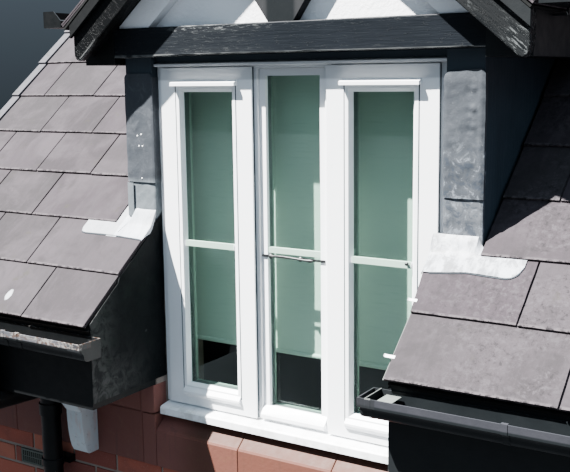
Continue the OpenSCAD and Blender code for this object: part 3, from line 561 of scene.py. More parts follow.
BRICK, TERRACOTTA, SLATE, CORBEL = brick_finish(), terracotta_finish(), slate_finish(), corbel_finish()
MORTAR = plain_finish("lime_mortar", 0.95, 0.15, (14, 4), (0.1690, 0.1365, 0.1170), (0.2470, 0.2080, 0.1820),
                      (400, 3, 0.002), (300, 2, 0.5, 0.8, 1, (0.1170, 0.0975, 0.0845)))
RIDGE = plain_finish("ridge_clay", 0.8, 0.1, (7, 5), (0.020, 0.018, 0.020), (0.031, 0.028, 0.030),
                     (120, 4, 0.001), (60, 4, 0.6, 0.7, 0.6, (0.06, 0.058, 0.050)))
VERGE = plain_finish("verge_cement", 0.7, 0.1, (6, 4), (0.036, 0.035, 0.042), (0.056, 0.055, 0.061),
                     (90, 4, 0.0008), (34, 4, 0.52, 0.7, 0.6, (0.027, 0.029, 0.026)))
# The room's plaster is near black: painted shade of the unlit room seen through the window.
PLASTER = plain_finish("room_plaster", 0.9, 0.2, (3, 3), (0.018, 0.026, 0.023), (0.028, 0.037, 0.033),
                       (60, 3, 0.0006))
CEMENT = plain_finish("pale_cement", 0.8, 0.2, (40, 4), (0.045, 0.052, 0.048), (0.110, 0.120, 0.112),
                      (160, 3, 0.0005))
VENT = plain_finish("air_brick_clay", 0.8, 0.3, (40, 4), (0.045, 0.052, 0.045), (0.085, 0.092, 0.080),
                    (160, 3, 0.0006))
WHITE, SASH = white_paint_finish("white_gloss_paint"), white_paint_finish("sash_gloss_paint", sashes=True)
BLACK, FRAMING = black_paint_finish(), gable_timber_finish()
BEAM_PAINT, BARGE = beam_finish(), barge_finish()
RENDER, LEAD, PALE_LEAD, BOX_LEAD = render_finish(), lead_finish(), pale_lead_finish(), box_lead_finish()
IRON = iron_finish("black_gutter_paint", 0.36, (0.020, 0.0205, 0.022))
LEAFY_IRON = iron_finish("leafy_gutter_paint", 0.36, (0.013, 0.0145, 0.0175), leafy=True)
BOARD = iron_finish("black_fascia_paint", 0.5, (0.012, 0.013, 0.014))
CAPPING = iron_finish("black_capping_paint", 0.5, (0.0028, 0.0042, 0.0052))
GLASS, BLIND, WOOD = glass_finish(), blind_finish(), bare_wood_finish()
LATCH = metal_finish("latch_metal", (0.010, 0.011, 0.012), (0.05, 0.05, 0.05), 0.4)
CLIP = metal_finish("pale_clip_metal", (0.70, 0.71, 0.73), (0.5, 0.5, 0.5), 0.0)


# Geometry Nodes that repeat a unit
class Grower(Nodes):
    """A tree with a mesh in, named inputs and a mesh out."""

    def __init__(self, name, *inputs):
        super().__init__(bpy.data.node_groups.new(name, "GeometryNodeTree"))
        sockets = self.tree.interface
        for label, kind, default in (("Mesh", "Geometry", None), *inputs, ("Material", "Material", None)):
            entry = sockets.new_socket(label, in_out="INPUT", socket_type="NodeSocket" + kind)
            if default is not None:
                entry.default_value = default
        sockets.new_socket("Mesh", in_out="OUTPUT", socket_type="NodeSocketGeometry")
        given = self.tree.nodes.new("NodeGroupInput").outputs
        self.given = {entry.name: Socket(self, entry) for entry in given if entry.name}

    def closed(self, mesh):
        real = self.add("GeometryNodeRealizeInstances", None, {"Geometry": mesh})
        sockets = {"Geometry": real, "Material": self.given["Material"]}
        coated = self.add("GeometryNodeSetMaterial", None, sockets)
        self.tree.links.new(coated.link, self.tree.nodes.new("NodeGroupOutput").inputs[0])
        return self.tree


def thickening_tree():
    """Every flat face becomes a closed slab of its own thickness: slates and bricks."""
    tree = Grower("thicken_each_face", ("Thickness", "Float", 0.007), ("Unevenness", "Float", 0.001),
                  ("Seed", "Int", 4))
    given = tree.given
    thinner = tree.add("FunctionNodeRandomValue", {"data_type": "FLOAT"},
                       {2: 0.0, 3: given["Unevenness"], "Seed": given["Seed"]}, out=1)
    raised = tree.add("GeometryNodeExtrudeMesh", {"mode": "FACES"}, {
        "Mesh": given["Mesh"], "Offset Scale": given["Thickness"] - thinner, "Individual": True})
    under = tree.add("GeometryNodeFlipFaces", None, {"Mesh": given["Mesh"]})
    joined = tree.add("GeometryNodeJoinGeometry")
    for part in (under, raised):
        tree.tree.links.new(part.link, joined.link.node.inputs[0])
    merged = tree.add("GeometryNodeMergeByDistance", None, {"Geometry": joined, "Distance": 0.00002})
    return tree.closed(merged)


def row_tree():
    """Copies of one unit along a straight line, each a little out of place: ridge tiles, straps and ribs."""
    tree = Grower("row_of_copies", ("Count", "Int", 4), ("Step", "Vector", None), ("Wander", "Float", 0.0),
                  ("Seed", "Int", 7))
    given = tree.given
    line = tree.add("GeometryNodeMeshLine", {"mode": "OFFSET"},
                    {"Count": given["Count"], "Offset": given["Step"]})
    low, high = (tree.add("ShaderNodeCombineXYZ", None, dict.fromkeys("XYZ", reach))
                 for reach in (given["Wander"] * -1.0, given["Wander"]))
    shake = tree.add("FunctionNodeRandomValue", {"data_type": "FLOAT_VECTOR"},
                     {0: low, 1: high, "Seed": given["Seed"]})
    moved = tree.add("GeometryNodeSetPosition", None, {"Geometry": line, "Offset": shake})
    copies = tree.add("GeometryNodeInstanceOnPoints", None, {"Points": moved, "Instance": given["Mesh"]})
    return tree.closed(copies)


THICKEN, ROW = thickening_tree(), row_tree()


def settled(obj):
    """Leaves the object with the plain mesh that its modifiers make."""
    bpy.context.view_layer.update()
    graph = bpy.context.evaluated_depsgraph_get()
    made = bpy.data.meshes.new_from_object(
        obj.evaluated_get(graph), preserve_all_data_layers=True, depsgraph=graph)
    obj.modifiers.clear()
    obj.data = made
    return obj


def grown(obj, tree, finish, **values):
    modifier = obj.modifiers.new(tree.name, "NODES")
    modifier.node_group = tree
    values["Material"] = finish.material
    for entry in tree.interface.items_tree:
        if entry.in_out == "INPUT" and entry.name in values:
            modifier[entry.identifier] = values[entry.name]
    return settled(obj)


# Meshes
def linked(name, data):
    obj = bpy.data.objects.new(name, data)
    bpy.context.scene.collection.objects.link(obj)
    return obj


def reworked(mesh, change, source=None):
    """Merges the doubles of a mesh, or of the one it is copied from, and changes it."""
    work = bmesh.new()
    work.from_mesh(source or mesh)
    bmesh.ops.remove_doubles(work, verts=work.verts, dist=0.00001)
    change(work)
    work.to_mesh(mesh)
    work.free()


def outwards(work):
    bmesh.ops.recalc_face_normals(work, faces=work.faces)


class Shape:
    """Points and faces of one piece in metres, with a tint for each face."""

    def __init__(self):
        self.points, self.faces, self.tints, self.ups = [], [], [], []

    def add(self, points, faces, tint=0.5):
        start = len(self.points)
        self.points += points
        self.faces += [[start + i for i in face] for face in faces]
        self.tints += [tint] * len(faces)

    def face(self, points, tint=0.5):
        self.add(points, [range(len(points))], tint)

    def slab(self, outline, depth, tint=0.5):
        """A closed prism from a flat outline and the vector of its depth."""
        n = len(outline)
        self.add(outline + [p + depth for p in outline], [range(n - 1, -1, -1), range(n, 2 * n)] + [
            (i, (i + 1) % n, n + (i + 1) % n, n + i) for i in range(n)], tint)

    def bar(self, x, section, length, tint=0.5):
        """A bar along X with a section in Y and Z."""
        self.slab([at(x, y, z) for y, z in section], way(length, 0, 0), tint)

    def block(self, x0, x1, y0, y1, z0, z1, tint=0.5):
        self.slab([at(x0, y0, z0), at(x1, y0, z0), at(x1, y1, z0), at(x0, y1, z0)], way(0, 0, z1 - z0), tint)

    def rings(self, rings, capped=True):
        """Joins rings of as many points each; the ends are closed where the piece isn't a loop."""
        n = len(rings[0])
        last = n * (len(rings) - 1)
        faces = [(k + i, k + (i + 1) % n, k + n + (i + 1) % n, k + n + i)
                 for k in range(0, last, n) for i in range(n)]
        if capped:
            faces += [range(n - 1, -1, -1), range(last, last + n)]
        self.add(sum(rings, []), faces)

    def grid(self, rows):
        """An open sheet through rows of as many points each."""
        n = len(rows[0])
        self.add(sum(rows, []), [(a, a + 1, a + n + 1, a + n) for k in range(0, n * (len(rows) - 1), n)
                                 for a in range(k, k + n - 1)])

    def tube(self, path, radii, sides=12):
        rings = []
        for i, p in enumerate(path):
            along = (path[min(i + 1, len(path) - 1)] - path[max(i - 1, 0)]).normalized()
            side = (along.orthogonal() if i == 0 else side - along * side.dot(along)).normalized()
            up = along.cross(side)
            r = radii[i] if isinstance(radii, list) else radii
            rings.append([p + (side * math.cos(a) + up * math.sin(a)) * r
                          for a in (math.tau * k / sides for k in range(sides))])
        self.rings(rings)

    def placed(self, name, closed=True):
        mesh = bpy.data.meshes.new(name)
        mesh.from_pydata([tuple(p) for p in self.points], [], self.faces)
        mesh.attributes.new("tint", "FLOAT", "FACE").data.foreach_set("value", self.tints)
        if self.ups:
            mesh.attributes.new("up", "FLOAT", "POINT").data.foreach_set("value", self.ups)
        if closed:
            reworked(mesh, outwards)
        return linked(name, mesh)

    def made(self, name, finish, slot, *nodes, **edges):
        return finished(self.placed(name), finish, slot, *nodes, **edges)

    def repeated(self, name, finish, slot, count, step):
        """Copies of the shape in an even row along X."""
        row = grown(self.placed(name), ROW, finish, Count=count, Step=way(step, 0, 0), Wander=0.0, Seed=1)
        finished(row, finish, slot)

    def thickened(self, name, finish, slot, thick, uneven, seed, bevel):
        """Gives each face of the shape its own thickness."""
        obj = self.placed(name, closed=False)
        grown(obj, THICKEN, finish, Thickness=thick, Unevenness=uneven, Seed=seed)
        reworked(obj.data, outwards)
        return finished(obj, finish, slot, bevel=bevel)


def finished(obj, finish, slot, *nodes, bevel=0.0, segments=1, smooth=None, limit=32):
    """Rounds the edges, gives the finish, attaches the piece to the root and hides the nodes it stands in
    for.
    """
    if bevel:
        edge = obj.modifiers.new("worn_edges", "BEVEL")
        edge.width, edge.segments = bevel, segments
        edge.limit_method, edge.angle_limit = "ANGLE", math.radians(limit)
        settled(obj)
    if smooth is not None:
        obj.data.shade_smooth()
        obj.data.set_sharp_from_angle(angle=math.radians(smooth))
    obj.data.materials.clear()
    obj.data.materials.append(finish.material)
    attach(obj, "root")
    if nodes:
        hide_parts(*nodes)
    return obj


def solidified(obj, thick, offset):
    solid = obj.modifiers.new("sheet_thickness", "SOLIDIFY")
    solid.thickness, solid.offset = thick, offset
    return settled(obj)


def copy_of(node):
    """A merged copy of a node's mesh, ready to be reshaped."""
    mesh = bpy.data.meshes.new(node + "_dressed")
    reworked(mesh, outwards, bpy.data.objects[node].data)
    return linked(node + "_dressed", mesh)


def softened(node, finish, slot, width, limit=40):
    """A node again with its sharp edges rounded, as wood, stone or iron has them."""
    return finished(copy_of(node), finish, slot, node, bevel=width, segments=2, limit=limit)


def sides_of(outline):
    return zip(outline, outline[1:] + outline[:1])


def clipped(outline, *sides):
    """The part of a convex outline on which each side's function is positive."""
    for side in sides:
        kept_part = []
        for a, b in sides_of(outline):
            fa, fb = side(*a), side(*b)
            if fa >= 0:
                kept_part.append(a)
            if (fa < 0) != (fb < 0):
                t = fa / (fa - fb)
                kept_part.append((a[0] + (b[0] - a[0]) * t, a[1] + (b[1] - a[1]) * t))
        outline = kept_part
        if len(outline) < 3:
            return []
    return outline


def surface_of(outline):
    return abs(sum(a[0] * b[1] - b[0] * a[1] for a, b in sides_of(outline))) / 2


def ragged(outline, step, wander, dice):
    """The outline with points along its edges that stray a little, as a hewn or worn edge does."""
    made = []
    for (ax, ay), (bx, by) in sides_of(outline):
        length = math.hypot(bx - ax, by - ay)
        count = max(1, round(length / step))
        out_x, out_y = (by - ay) / max(length, 0.1), (ax - bx) / max(length, 0.1)
        for i in range(count):
            t = i / count
            stray = abs(dice.uniform(-1, 1) * wander * (0.4 if i == 0 else 1))
            made.append((ax + (bx - ax) * t - out_x * stray, ay + (by - ay) * t - out_y * stray))
    return made


# Slates
def slate_place(side, slope):
    """Maps (across, up the slope, out of it) to a point of the main, the rear or a dormer slope."""
    if slope == "main":
        return lambda u, s, n: at(side * u, s * COS - n * SIN, s * SIN + n * COS)
    if slope == "rear":
        top = roof_z(ROOF_RUN) - (BACK_Y - ROOF_RUN) * SLOPE
        return lambda u, s, n: at(side * u, BACK_Y - s * COS + n * SIN, top + s * SIN + n * COS)
    return lambda u, s, n: at(side * (DORMER_EDGE - s * COS + n * SIN), u, DORMER_RISE + s * SIN + n * COS)


class Slating(Shape):
    """The slates of one slope. Course -1 is the short one under the eaves course."""

    def __init__(self, side, slope, seed, turned):
        super().__init__()
        self.place, self.dice, self.turned = slate_place(side, slope), random.Random(seed), turned

    def course(self, row, top):
        self.tail, self.lift = max(row, 0) * GAUGE, -SLATE_T - 0.6 if row < 0 else 0.0
        return self.tail, min(self.tail + (SLATE_L if row >= 0 else UNDER_L), top)

    def lay(self, outline):
        """One slate: its outline in the slope, sunk towards its head under the course above."""
        if not outline or surface_of(outline) < 900:
            return
        dice, turn = self.dice, slice(None, None, -1 if self.turned else 1)
        outline = ragged(outline, 36, 0.9, dice)
        lean = dice.uniform(-0.5, 0.5) / 300
        middle = sum(p[0] for p in outline) / len(outline)
        rise = self.lift + dice.uniform(-0.5, 0.4) - SLATE_T
        points = [self.place(u, s, rise - (s - self.tail) * SLATE_STEP / GAUGE + (u - middle) * lean)
                  for u, s in outline]
        self.face(points[turn], dice.random())
        self.ups += [(s - self.tail) / 1000 for u, s in outline][turn]

    def hung(self, name):
        return self.thickened(name, SLATE, "slate", SLATE_T / 1000, 0.0006, 3, 0.0011)


def course_joints(first, low, high, left_out=None):
    joints = [first + SLATE_W * n for n in range(-12, 13)]
    return [low] + [j for j in joints if low + 60 < j < high - 60 and j != left_out] + [high]


def cut_edge(side, s, row):
    """Where the slates beside the window are cut: short of its edge on the left, over it on the right."""
    if side < 0:
        return 561 - s * 5 / 390
    return 548 - s * 4 / 229 if row < 1 else 569 - s * 0.1088


def main_slates(side):
    """The slates of one side of the main slope, cut to the window, the post, the valley and the ridge."""
    left, join = side < 0, DORMER_TOP / SLOPE
    slates = Slating(side, "main", 11 if left else 29, left)
    dice = slates.dice

    def outside(u, s):
        return u - DORMER_EDGE - 0.7

    def under_eaves(u, s):
        return DORMER_EDGE - 0.7 - u

    def before_valley(u, s):
        return join - 6 - u - s * COS

    def past_valley(u, s):
        return u + s * COS - join - 86

    for row in range(-1, 14):
        tail, head = slates.course(row, ROOF_RUN / COS - 4)
        even = row % 2 == 0
        if left:
            first, left_out = (555, 855 if row == 2 else None) if even else (405, 705 if row > 0 else None)
        else:
            first, left_out = (1026, 726 if row < 1 else None) if even else (855, None)
        low = 528 if row < 2 else POST_OUT + (6 if left else 9) if row < 8 else 1.5
        joints = course_joints(first, low, VERGE_IN - 2.5, left_out)
        for a, b in zip(joints, joints[1:]):
            reach = 2.2 if tail else 1.2
            stray = dice.uniform(-reach, reach)
            a, b = a + (0 if a == low else 2.5), b - 2.5
            ends = (tail + stray, tail + stray + dice.uniform(-1.5, 1.5)) if row >= 0 else (3, 3)
            slate = [(a, ends[0]), (b, ends[1]), (b, head), (a, head)]
            pieces = [slate]
            if row < 2 and a < POST_OUT + 10:
                pieces = [clipped(slate, lambda u, s: 376 - s * COS,
                                  lambda u, s: u - cut_edge(side, s, row))]
            elif row == 2 and left and a < 720:
                pieces = [[(719, tail), (b, tail), (b, head), (681, head), (681, 580), (719, 552)]]
            elif row in (5, 6) and a < DORMER_EDGE:
                pieces = [clipped(slate, outside), clipped(slate, under_eaves, before_valley)]
            elif row == 7:
                pieces = [clipped(slate, outside), clipped(slate, under_eaves, past_valley)]
            elif row > 7:
                pieces = [clipped(slate, past_valley)]
            for outline in pieces:
                slates.lay(outline)
    return slates


def dormer_slates(side):
    slates = Slating(side, "dormer", 53 if side < 0 else 71, side > 0)
    for row in range(-1, 5):
        tail, head = slates.course(row, DORMER_EDGE / COS - 4)
        joints = course_joints(DORMER_FRONT + (300 if row % 2 == 0 else 450), DORMER_FRONT, 2100)
        for a, b in zip(joints, joints[1:]):
            foot = tail + max(slates.dice.uniform(-2, 2), 0) + 0.5
            a, b = a + 1.4 * (a > DORMER_FRONT), b - 1.4
            slates.lay(clipped([(a, foot), (b, foot), (b, head), (a, head)],
                               lambda u, s: (DORMER_RISE + s * SIN) / SLOPE - 3 - u))
    return slates


def rear_slates():
    slates, top = Slating(1, "rear", 97, False), (BACK_Y - ROOF_RUN) / COS - 4
    for row in (-1, 0, 1):
        tail, head = slates.course(row, top)
        for side in (-1, 1):
            slates.turned = side > 0
            joints = course_joints(150 * (row % 2), 1.5, VERGE_IN - 2.5)
            for a, b in zip(joints, joints[1:]):
                a, b = side * (a + 1.4), side * (b - 1.4)
                slates.lay([(a, tail), (b, tail), (b, top), (a, top)])
    return slates


def lowered(obj, down, planes):
    """Sinks the top planes of a roof's copy, each given by the height of a point above it and its normal."""
    for vertex in obj.data.vertices:
        place = in_source(vertex.co)
        touched = [normal for height, normal in planes if abs(height(*place)) < 0.6]
        if len(touched) == 1:
            vertex.co -= Vector(touched[0]) * down / 1000
        elif touched:
            vertex.co.z -= down / COS / 1000
    return obj


FRONT_SLOPE = (lambda x, y, z: z - roof_z(y), (0, -SIN, COS))
REAR_SLOPE = (lambda x, y, z: z - roof_z(2 * ROOF_RUN - y), (0, SIN, COS))
LEFT_DORMER = (lambda x, y, z: z - dormer_z(x) if x < 1 else 99, (-SIN, 0, COS))
RIGHT_DORMER = (lambda x, y, z: z - dormer_z(x) if x > -1 else 99, (SIN, 0, COS))


def roofs():
    """The boarding, sunk to make room, and the slates on it."""
    for node, *planes in (("left_main_roof", FRONT_SLOPE), ("right_main_roof", FRONT_SLOPE),
                          ("upper_main_roof", FRONT_SLOPE, REAR_SLOPE),
                          ("left_dormer_roof", LEFT_DORMER), ("right_dormer_roof", RIGHT_DORMER)):
        finished(lowered(copy_of(node), 25.5, planes), WOOD, "slate", node)
    for slope, slating in (("main", main_slates), ("dormer", dormer_slates)):
        for side, hand in ((-1, "left"), (1, "right")):
            slating(side).hung(f"{hand}_{slope}_slates")
    rear_slates().hung("rear_slates")


def verge_units():
    """Cement verge units, one to a course, each lapping the one below."""
    shape, dice, start = Shape(), random.Random(5), VERGE_IN + 9
    for side in (-1, 1):
        for slope, top in (("main", ROOF_RUN / COS), ("rear", (BACK_Y - ROOF_RUN) / COS)):
            place = slate_place(side, slope)
            for tail in range(0, 14 * GAUGE, GAUGE):
                head = min(tail + GAUGE + 22, top)
                if head - tail < 60:
                    continue
                drop = (head - tail) * SLATE_STEP / GAUGE + 0.5
                profile = (tail + 1, -30), (head, -31), (head, -drop), (tail + 1, 1.5)
                width = VERGE_OUT - start - dice.uniform(0.3, 2.5)
                shape.slab([place(start, s, n) for s, n in profile], way(side * width, 0, 0), dice.random())
    shape.made("verge_units", VERGE, "verge", "verge_strips", bevel=0.003, segments=2)


def ridge_row(name, turn, length, start, count, step, seed):
    """Angular ridge tiles with a rounded apex, in a row along the ridge. Turn maps (across, up, along)."""
    apex = [(u, 22 - abs(u) * 0.873 - 1.4 * math.cos(u / 12) if u else 20.4)
            for u in (-60, -24, -10, 0, 10, 24, 60)]
    section = [(-130, -109), (-129, -91), *apex, (129, -91), (130, -109),
               (60, -50.5), (0, -0.2), (-60, -50.5)]
    shape = Shape()
    shape.slab([start + turn(u, v, 0) for u, v in section], turn(0, 0, length))
    return grown(shape.placed(name), ROW, RIDGE,
                 Count=count, Step=turn(0, 0, step), Wander=0.0012, Seed=seed)


def ridges():
    step = (3626 - 4) / 8
    tiles = ridge_row("main_ridge_tiles", lambda u, v, w: way(w, u, v), step - 5,
                      at(-1813 + 2, ROOF_RUN, roof_z(ROOF_RUN) + 1), 8, step, 2)
    reworked(tiles.data, outwards)
    finished(tiles, RIDGE, "ridge_tile", "main_ridge", bevel=0.002)
    tiles = ridge_row("dormer_ridge_tiles", lambda u, v, w: way(u, w, v), 447,
                      at(0, DORMER_FRONT - 4, DORMER_TOP + 1), 4, 452, 9)

    def cut_to_roof(work):
        outwards(work)
        cut = bmesh.ops.bisect_plane(work, geom=work.verts[:] + work.edges[:] + work.faces[:], dist=1e-6,
                                     plane_co=at(0, 0, 8), plane_no=Vector((0, SIN, -COS)), clear_outer=True)
        rim = [e for e in cut["geom_cut"] if isinstance(e, bmesh.types.BMEdge)]
        bmesh.ops.holes_fill(work, edges=rim, sides=0)
        outwards(work)
    reworked(tiles.data, cut_to_roof)
    finished(tiles, RIDGE, "ridge_tile", "dormer_ridge", bevel=0.002)


# Walls
def courses(shape, place, low, high, regions, turned, seed, header_first=0):
    """Bricks in stretcher bond between two ends, clipped to convex regions of the face."""
    dice = random.Random(seed)
    for k in range(40):
        z0, z1 = BASE_Z + COURSE_H * k + 8, BASE_Z + COURSE_H * k + 72
        x = low - BRICK_STEP / 2 * ((k + header_first) % 2)
        while x < high:
            a, b = max(x, low), min(x + BRICK_L, high)
            if b - a > 30:
                lift = dice.uniform(-1.2, 1.2)
                tint = kept(dice.gauss(0.5, 0.25))
                brick = [(a, z0 + lift), (b, z0 + lift), (b, z1 + lift), (a, z1 + lift)]
                for region in regions:
                    outline = clipped(brick, *region)
                    if outline and surface_of(outline) > 1500:
                        points = [place(u, v) for u, v in ragged(outline, 55, 0.9, dice)]
                        shape.face(points[::-1] if turned else points, tint)
            x += BRICK_STEP


def mortar_walls():
    """The walls set back to the depth of the joints, plastered inside."""
    for node in ("front_wall", "left_side_wall", "right_side_wall", "back_wall"):
        obj = copy_of(node)
        for vertex in obj.data.vertices:
            x, y, z = in_source(vertex.co)
            if abs(abs(x) - WALL_X) < 0.5:
                vertex.co.x -= math.copysign(MORTAR_IN, x) / 1000
            for face_y, move in ((WALL_Y, MORTAR_IN), (REAR_Y, -MORTAR_IN)):
                if abs(y - face_y) < 0.5:
                    vertex.co.y += move / 1000
        finished(obj, MORTAR, "brick", node)
        obj.data.materials.append(PLASTER.material)
        for face in obj.data.polygons:
            x, y, z = in_source(face.center)
            inside = abs(x) < WALL_X - SIDE_T + 2 and WALL_Y + WALL_T - 2 < y < ROOF_RUN + 2
            if inside and abs(face.normal.z) < 0.3:
                face.material_index = 1


def brickwork():
    def built(name, shape):
        shape.thickened(name, BRICK, "brick", 0.0112, 0.0016, 8, 0.0018)

    def below_band(u, v):
        return BAND_LOW - 3 - v

    front, face_y = Shape(), WALL_Y + BRICK_IN
    courses(front, lambda u, v: at(u, face_y, v), -WALL_X, WALL_X, [[below_band]], False, 21)
    lows, highs = [], []
    for i in range(len(front.faces) - 1, -1, -1):
        xs, ys, zs = zip(*(in_source(front.points[k]) for k in front.faces[i]))
        level_with_vent = VENT_LOW - 3 < sum(zs) / len(zs) < VENT_HIGH + 3
        if level_with_vent and max(xs) > VENT_LEFT and min(xs) < VENT_RIGHT:
            lows.append(min(xs))
            highs.append(max(xs))
            del front.faces[i], front.tints[i]
    dice = random.Random(4)
    z0, z1 = VENT_LOW - 2, VENT_HIGH
    for a, b in ((min(lows), VENT_LEFT - 4), (VENT_RIGHT + 4, max(highs))):
        if b - a > 25:
            front.face([at(a, face_y, z0), at(b, face_y, z0), at(b, face_y, z1), at(a, face_y, z1)],
                       dice.random())
    built("front_bricks", front)
    under = 40 / COS
    gable = [lambda u, v: roof_z(u) - under - v, lambda u, v: roof_z(2 * ROOF_RUN - u) - under - v]

    def behind_stones(u, v):
        return u - 414

    def beside_stones(u, v):
        return 414 - u

    regions = [gable + [behind_stones], gable + [beside_stones, below_band],
               gable + [beside_stones, lambda u, v: v + 318]]
    for side, name in ((-1, "left_bricks"), (1, "right_bricks")):
        shape = Shape()
        courses(shape, lambda u, v: at(side * (WALL_X - BRICK_IN), u, v), WALL_Y, REAR_Y, regions,
                side < 0, 33 + side, 1)
        built(name, shape)
    back = Shape()
    courses(back, lambda u, v: at(u, REAR_Y - BRICK_IN, v), -WALL_X, WALL_X,
            [[lambda u, v: roof_z(2 * ROOF_RUN - REAR_Y) - under - v]], True, 61)
    built("back_bricks", back)


def stones():
    """The stone course in blocks with fine joints, and the sloping sill between its stools."""
    dice = random.Random(15)
    course, joints, sill = Shape(), Shape(), Shape()
    whole, lower, upper = (BAND_LOW, BAND_TOP), (BAND_LOW, SILL_Z + 4), (SILL_Z + 8, BAND_TOP)
    stool, reveal, joint, far_joint = 615, 622, 880, 1291
    for side, blocks in (
            (-1, ((far_joint, WALL_X, whole), (joint, far_joint, whole), (stool, joint, lower),
                  (reveal, joint, upper))),
            (1, ((reveal, far_joint, upper), (far_joint, WALL_X, whole), (stool, far_joint, lower)))):
        for a, b, (z0, z1) in (*blocks, (OPENING - STONE_GAP, reveal, (SILL_Z + 5, BAND_TOP))):
            b -= STONE_GAP if b < WALL_X else 0
            course.block(side * (a + STONE_GAP), side * b, STONE_Y + dice.uniform(0, 0.8), STONE_BACK,
                         z0 + 0.3, z1, dice.random())
        joints.block(side * (OPENING + 14), side * (WALL_X - 3), 343.5, 410, SILL_Z + 2, BAND_TOP - 1)
        joints.block(side * (stool + 1), side * (WALL_X - 3), 343.5, 410, BAND_LOW + 2, SILL_Z + 2)
    course.made("stone_blocks", TERRACOTTA, "terracotta", "stone_course", bevel=0.004, segments=2)
    joints.made("stone_joints", TERRACOTTA, "terracotta", bevel=0.001)
    section = [(STONE_Y, BAND_LOW), (450, BAND_LOW), (450, SILL_Z - 2), (STONE_BACK, SILL_Z - 2),
               (352, STONE_ARRIS + 7), (344, STONE_ARRIS + 1), (STONE_Y, STONE_ARRIS - 6)]
    for a, b in ((-553, -186), (-186, 188), (188, 553)):
        sill.bar(a + 0.8, section, b - a - 1.6, dice.random())
    for side in (-1, 1):
        sill.block(side * (OPENING - 1), side * (stool - 0.6), STONE_Y, 450, BAND_LOW, SILL_Z, dice.random())
    sill.made("dressed_sill", TERRACOTTA, "terracotta", "stone_sill", bevel=0.003, segments=2)


# Leadwork
def dent(co, seed, amount):
    """How far a beaten sheet stands out at a place."""
    shift = Vector((seed * 3.1, seed * 1.7, seed))
    wave = noise.noise(co * 13 + shift) * 0.65 + noise.noise(co * 34 + shift) * 0.35
    return max(0.0, wave + 0.35) * amount * 0.8


def dressed(name, rows, thick, amount, seed, finish, *nodes, keep=lambda co: 1):
    """A beaten sheet through rows of points, dented outwards, with its thickness to the back."""
    def beaten(work):
        work.normal_update()
        moves = [v.normal * dent(v.co, seed, amount) * keep(v.co) for v in work.verts]
        for v, move in zip(work.verts, moves):
            v.co += move
    shape = Shape()
    shape.grid(rows)
    obj = shape.placed(name, closed=False)
    reworked(obj.data, beaten)
    return finished(solidified(obj, thick, -1), finish, "lead", *nodes, smooth=35)


def facing_out(side, row):
    return row if side > 0 else row[::-1]


def post_leads():
    """Two sheets round each post: the upper laps over the lower, which ends behind the apron."""
    face, inner = 386, OPENING - 2
    bosses = ((641, 769, 4), (640, 713, 4), (641, 661, 4),
              (630, 761, -2.5), (629, 705, -2.5), (630, 653, -2.5))
    for side, hand, seam in ((-1, "left", 442), (1, "right", 451)):
        def head(x, y):
            level = 818.5 + (x - 572) * 0.08 if side > 0 else 826
            near = min(13, max(0, x - inner), max(0, POST_OUT - x)) if y < face else 0
            return level - 13 + math.sqrt(169 - (13 - near) ** 2)

        def bulge(x, z):
            """The right post's upper sheet stands off at a fold, over the nails and along its edge."""
            return 2.0 * max(0, 1 - abs(z - 790) / 45) + 1.8 * max(0, 1 - abs(x - 664) / 7) + \
                sum(h * eased(1 - math.hypot(x - u, z - v) / 17) for u, v, h in bosses)
        for level, out in (("upper", 3.6), ("lower", 0.5)):
            end = face + 100 if side < 0 else face + 11
            path = [(inner - out * 0.5, y) for y in spaced(face + 30, face - out, 10)] + \
                   [(x, face - 1.5 - out) for x in spaced(inner + 3, POST_OUT - 3, 6)] + \
                   [(POST_OUT + out * 0.8, y) for y in spaced(face - out, end, 10)]
            rows = []
            for t in shares(72):
                row = []
                for x, y in path:
                    foot, top = (seam, head(x, y)) if level == "upper" else (roof_z(y) - 10, seam + 10)
                    z = foot + (top - foot) * t
                    stand = bulge(x, z) if level == "upper" and side > 0 and y < face + 2 else 0
                    row.append(at(side * x, y - stand, z))
                rows.append(facing_out(side, row))
            still = at(0, 0, seam).z
            dressed(f"{hand}_post_{level}_lead", rows, 0.0022, 0.0042, 3 + side + out, LEAD, "post_lead",
                    keep=(lambda co: eased((still - co.z) / 0.03)) if level == "lower" else lambda co: 1)
    nails = Shape()
    for x, z in ((-624, 607), (-605.5, 612), (-617, 571), (-601, 571), (-608, 456)):
        y = 380.9 - dent(at(x, 380.9, z), 3 - 1 + 3.6, 4.2)
        nails.tube([at(x, y + 3, z), at(x, y - 0.4, z), at(x, y - 1.3, z)], [0.0032, 0.0032, 0.0018], 10)
    nails.made("lead_nails", CLIP, "lead", smooth=40)
    edge = ((679.8, 400), (679.4, 383), (677, 378.6), (668, 377.8), (658, 377.8), (650, 378.4))
    dressed("left_soaker_flange", [[at(-x, y, z) for x, y in edge] for z in spaced(316, 438, 11)],
            0.0018, 0.0006, 21, LEAD)
    place = slate_place(-1, "main")
    dressed("left_soaker", [[place(x, s, 1.6 - sunk(s)) for x in (724, 712, 700, 688, 676)]
                            for s in spaced(392, 580, 14)], 0.0018, 0.0010, 22, PALE_LEAD)


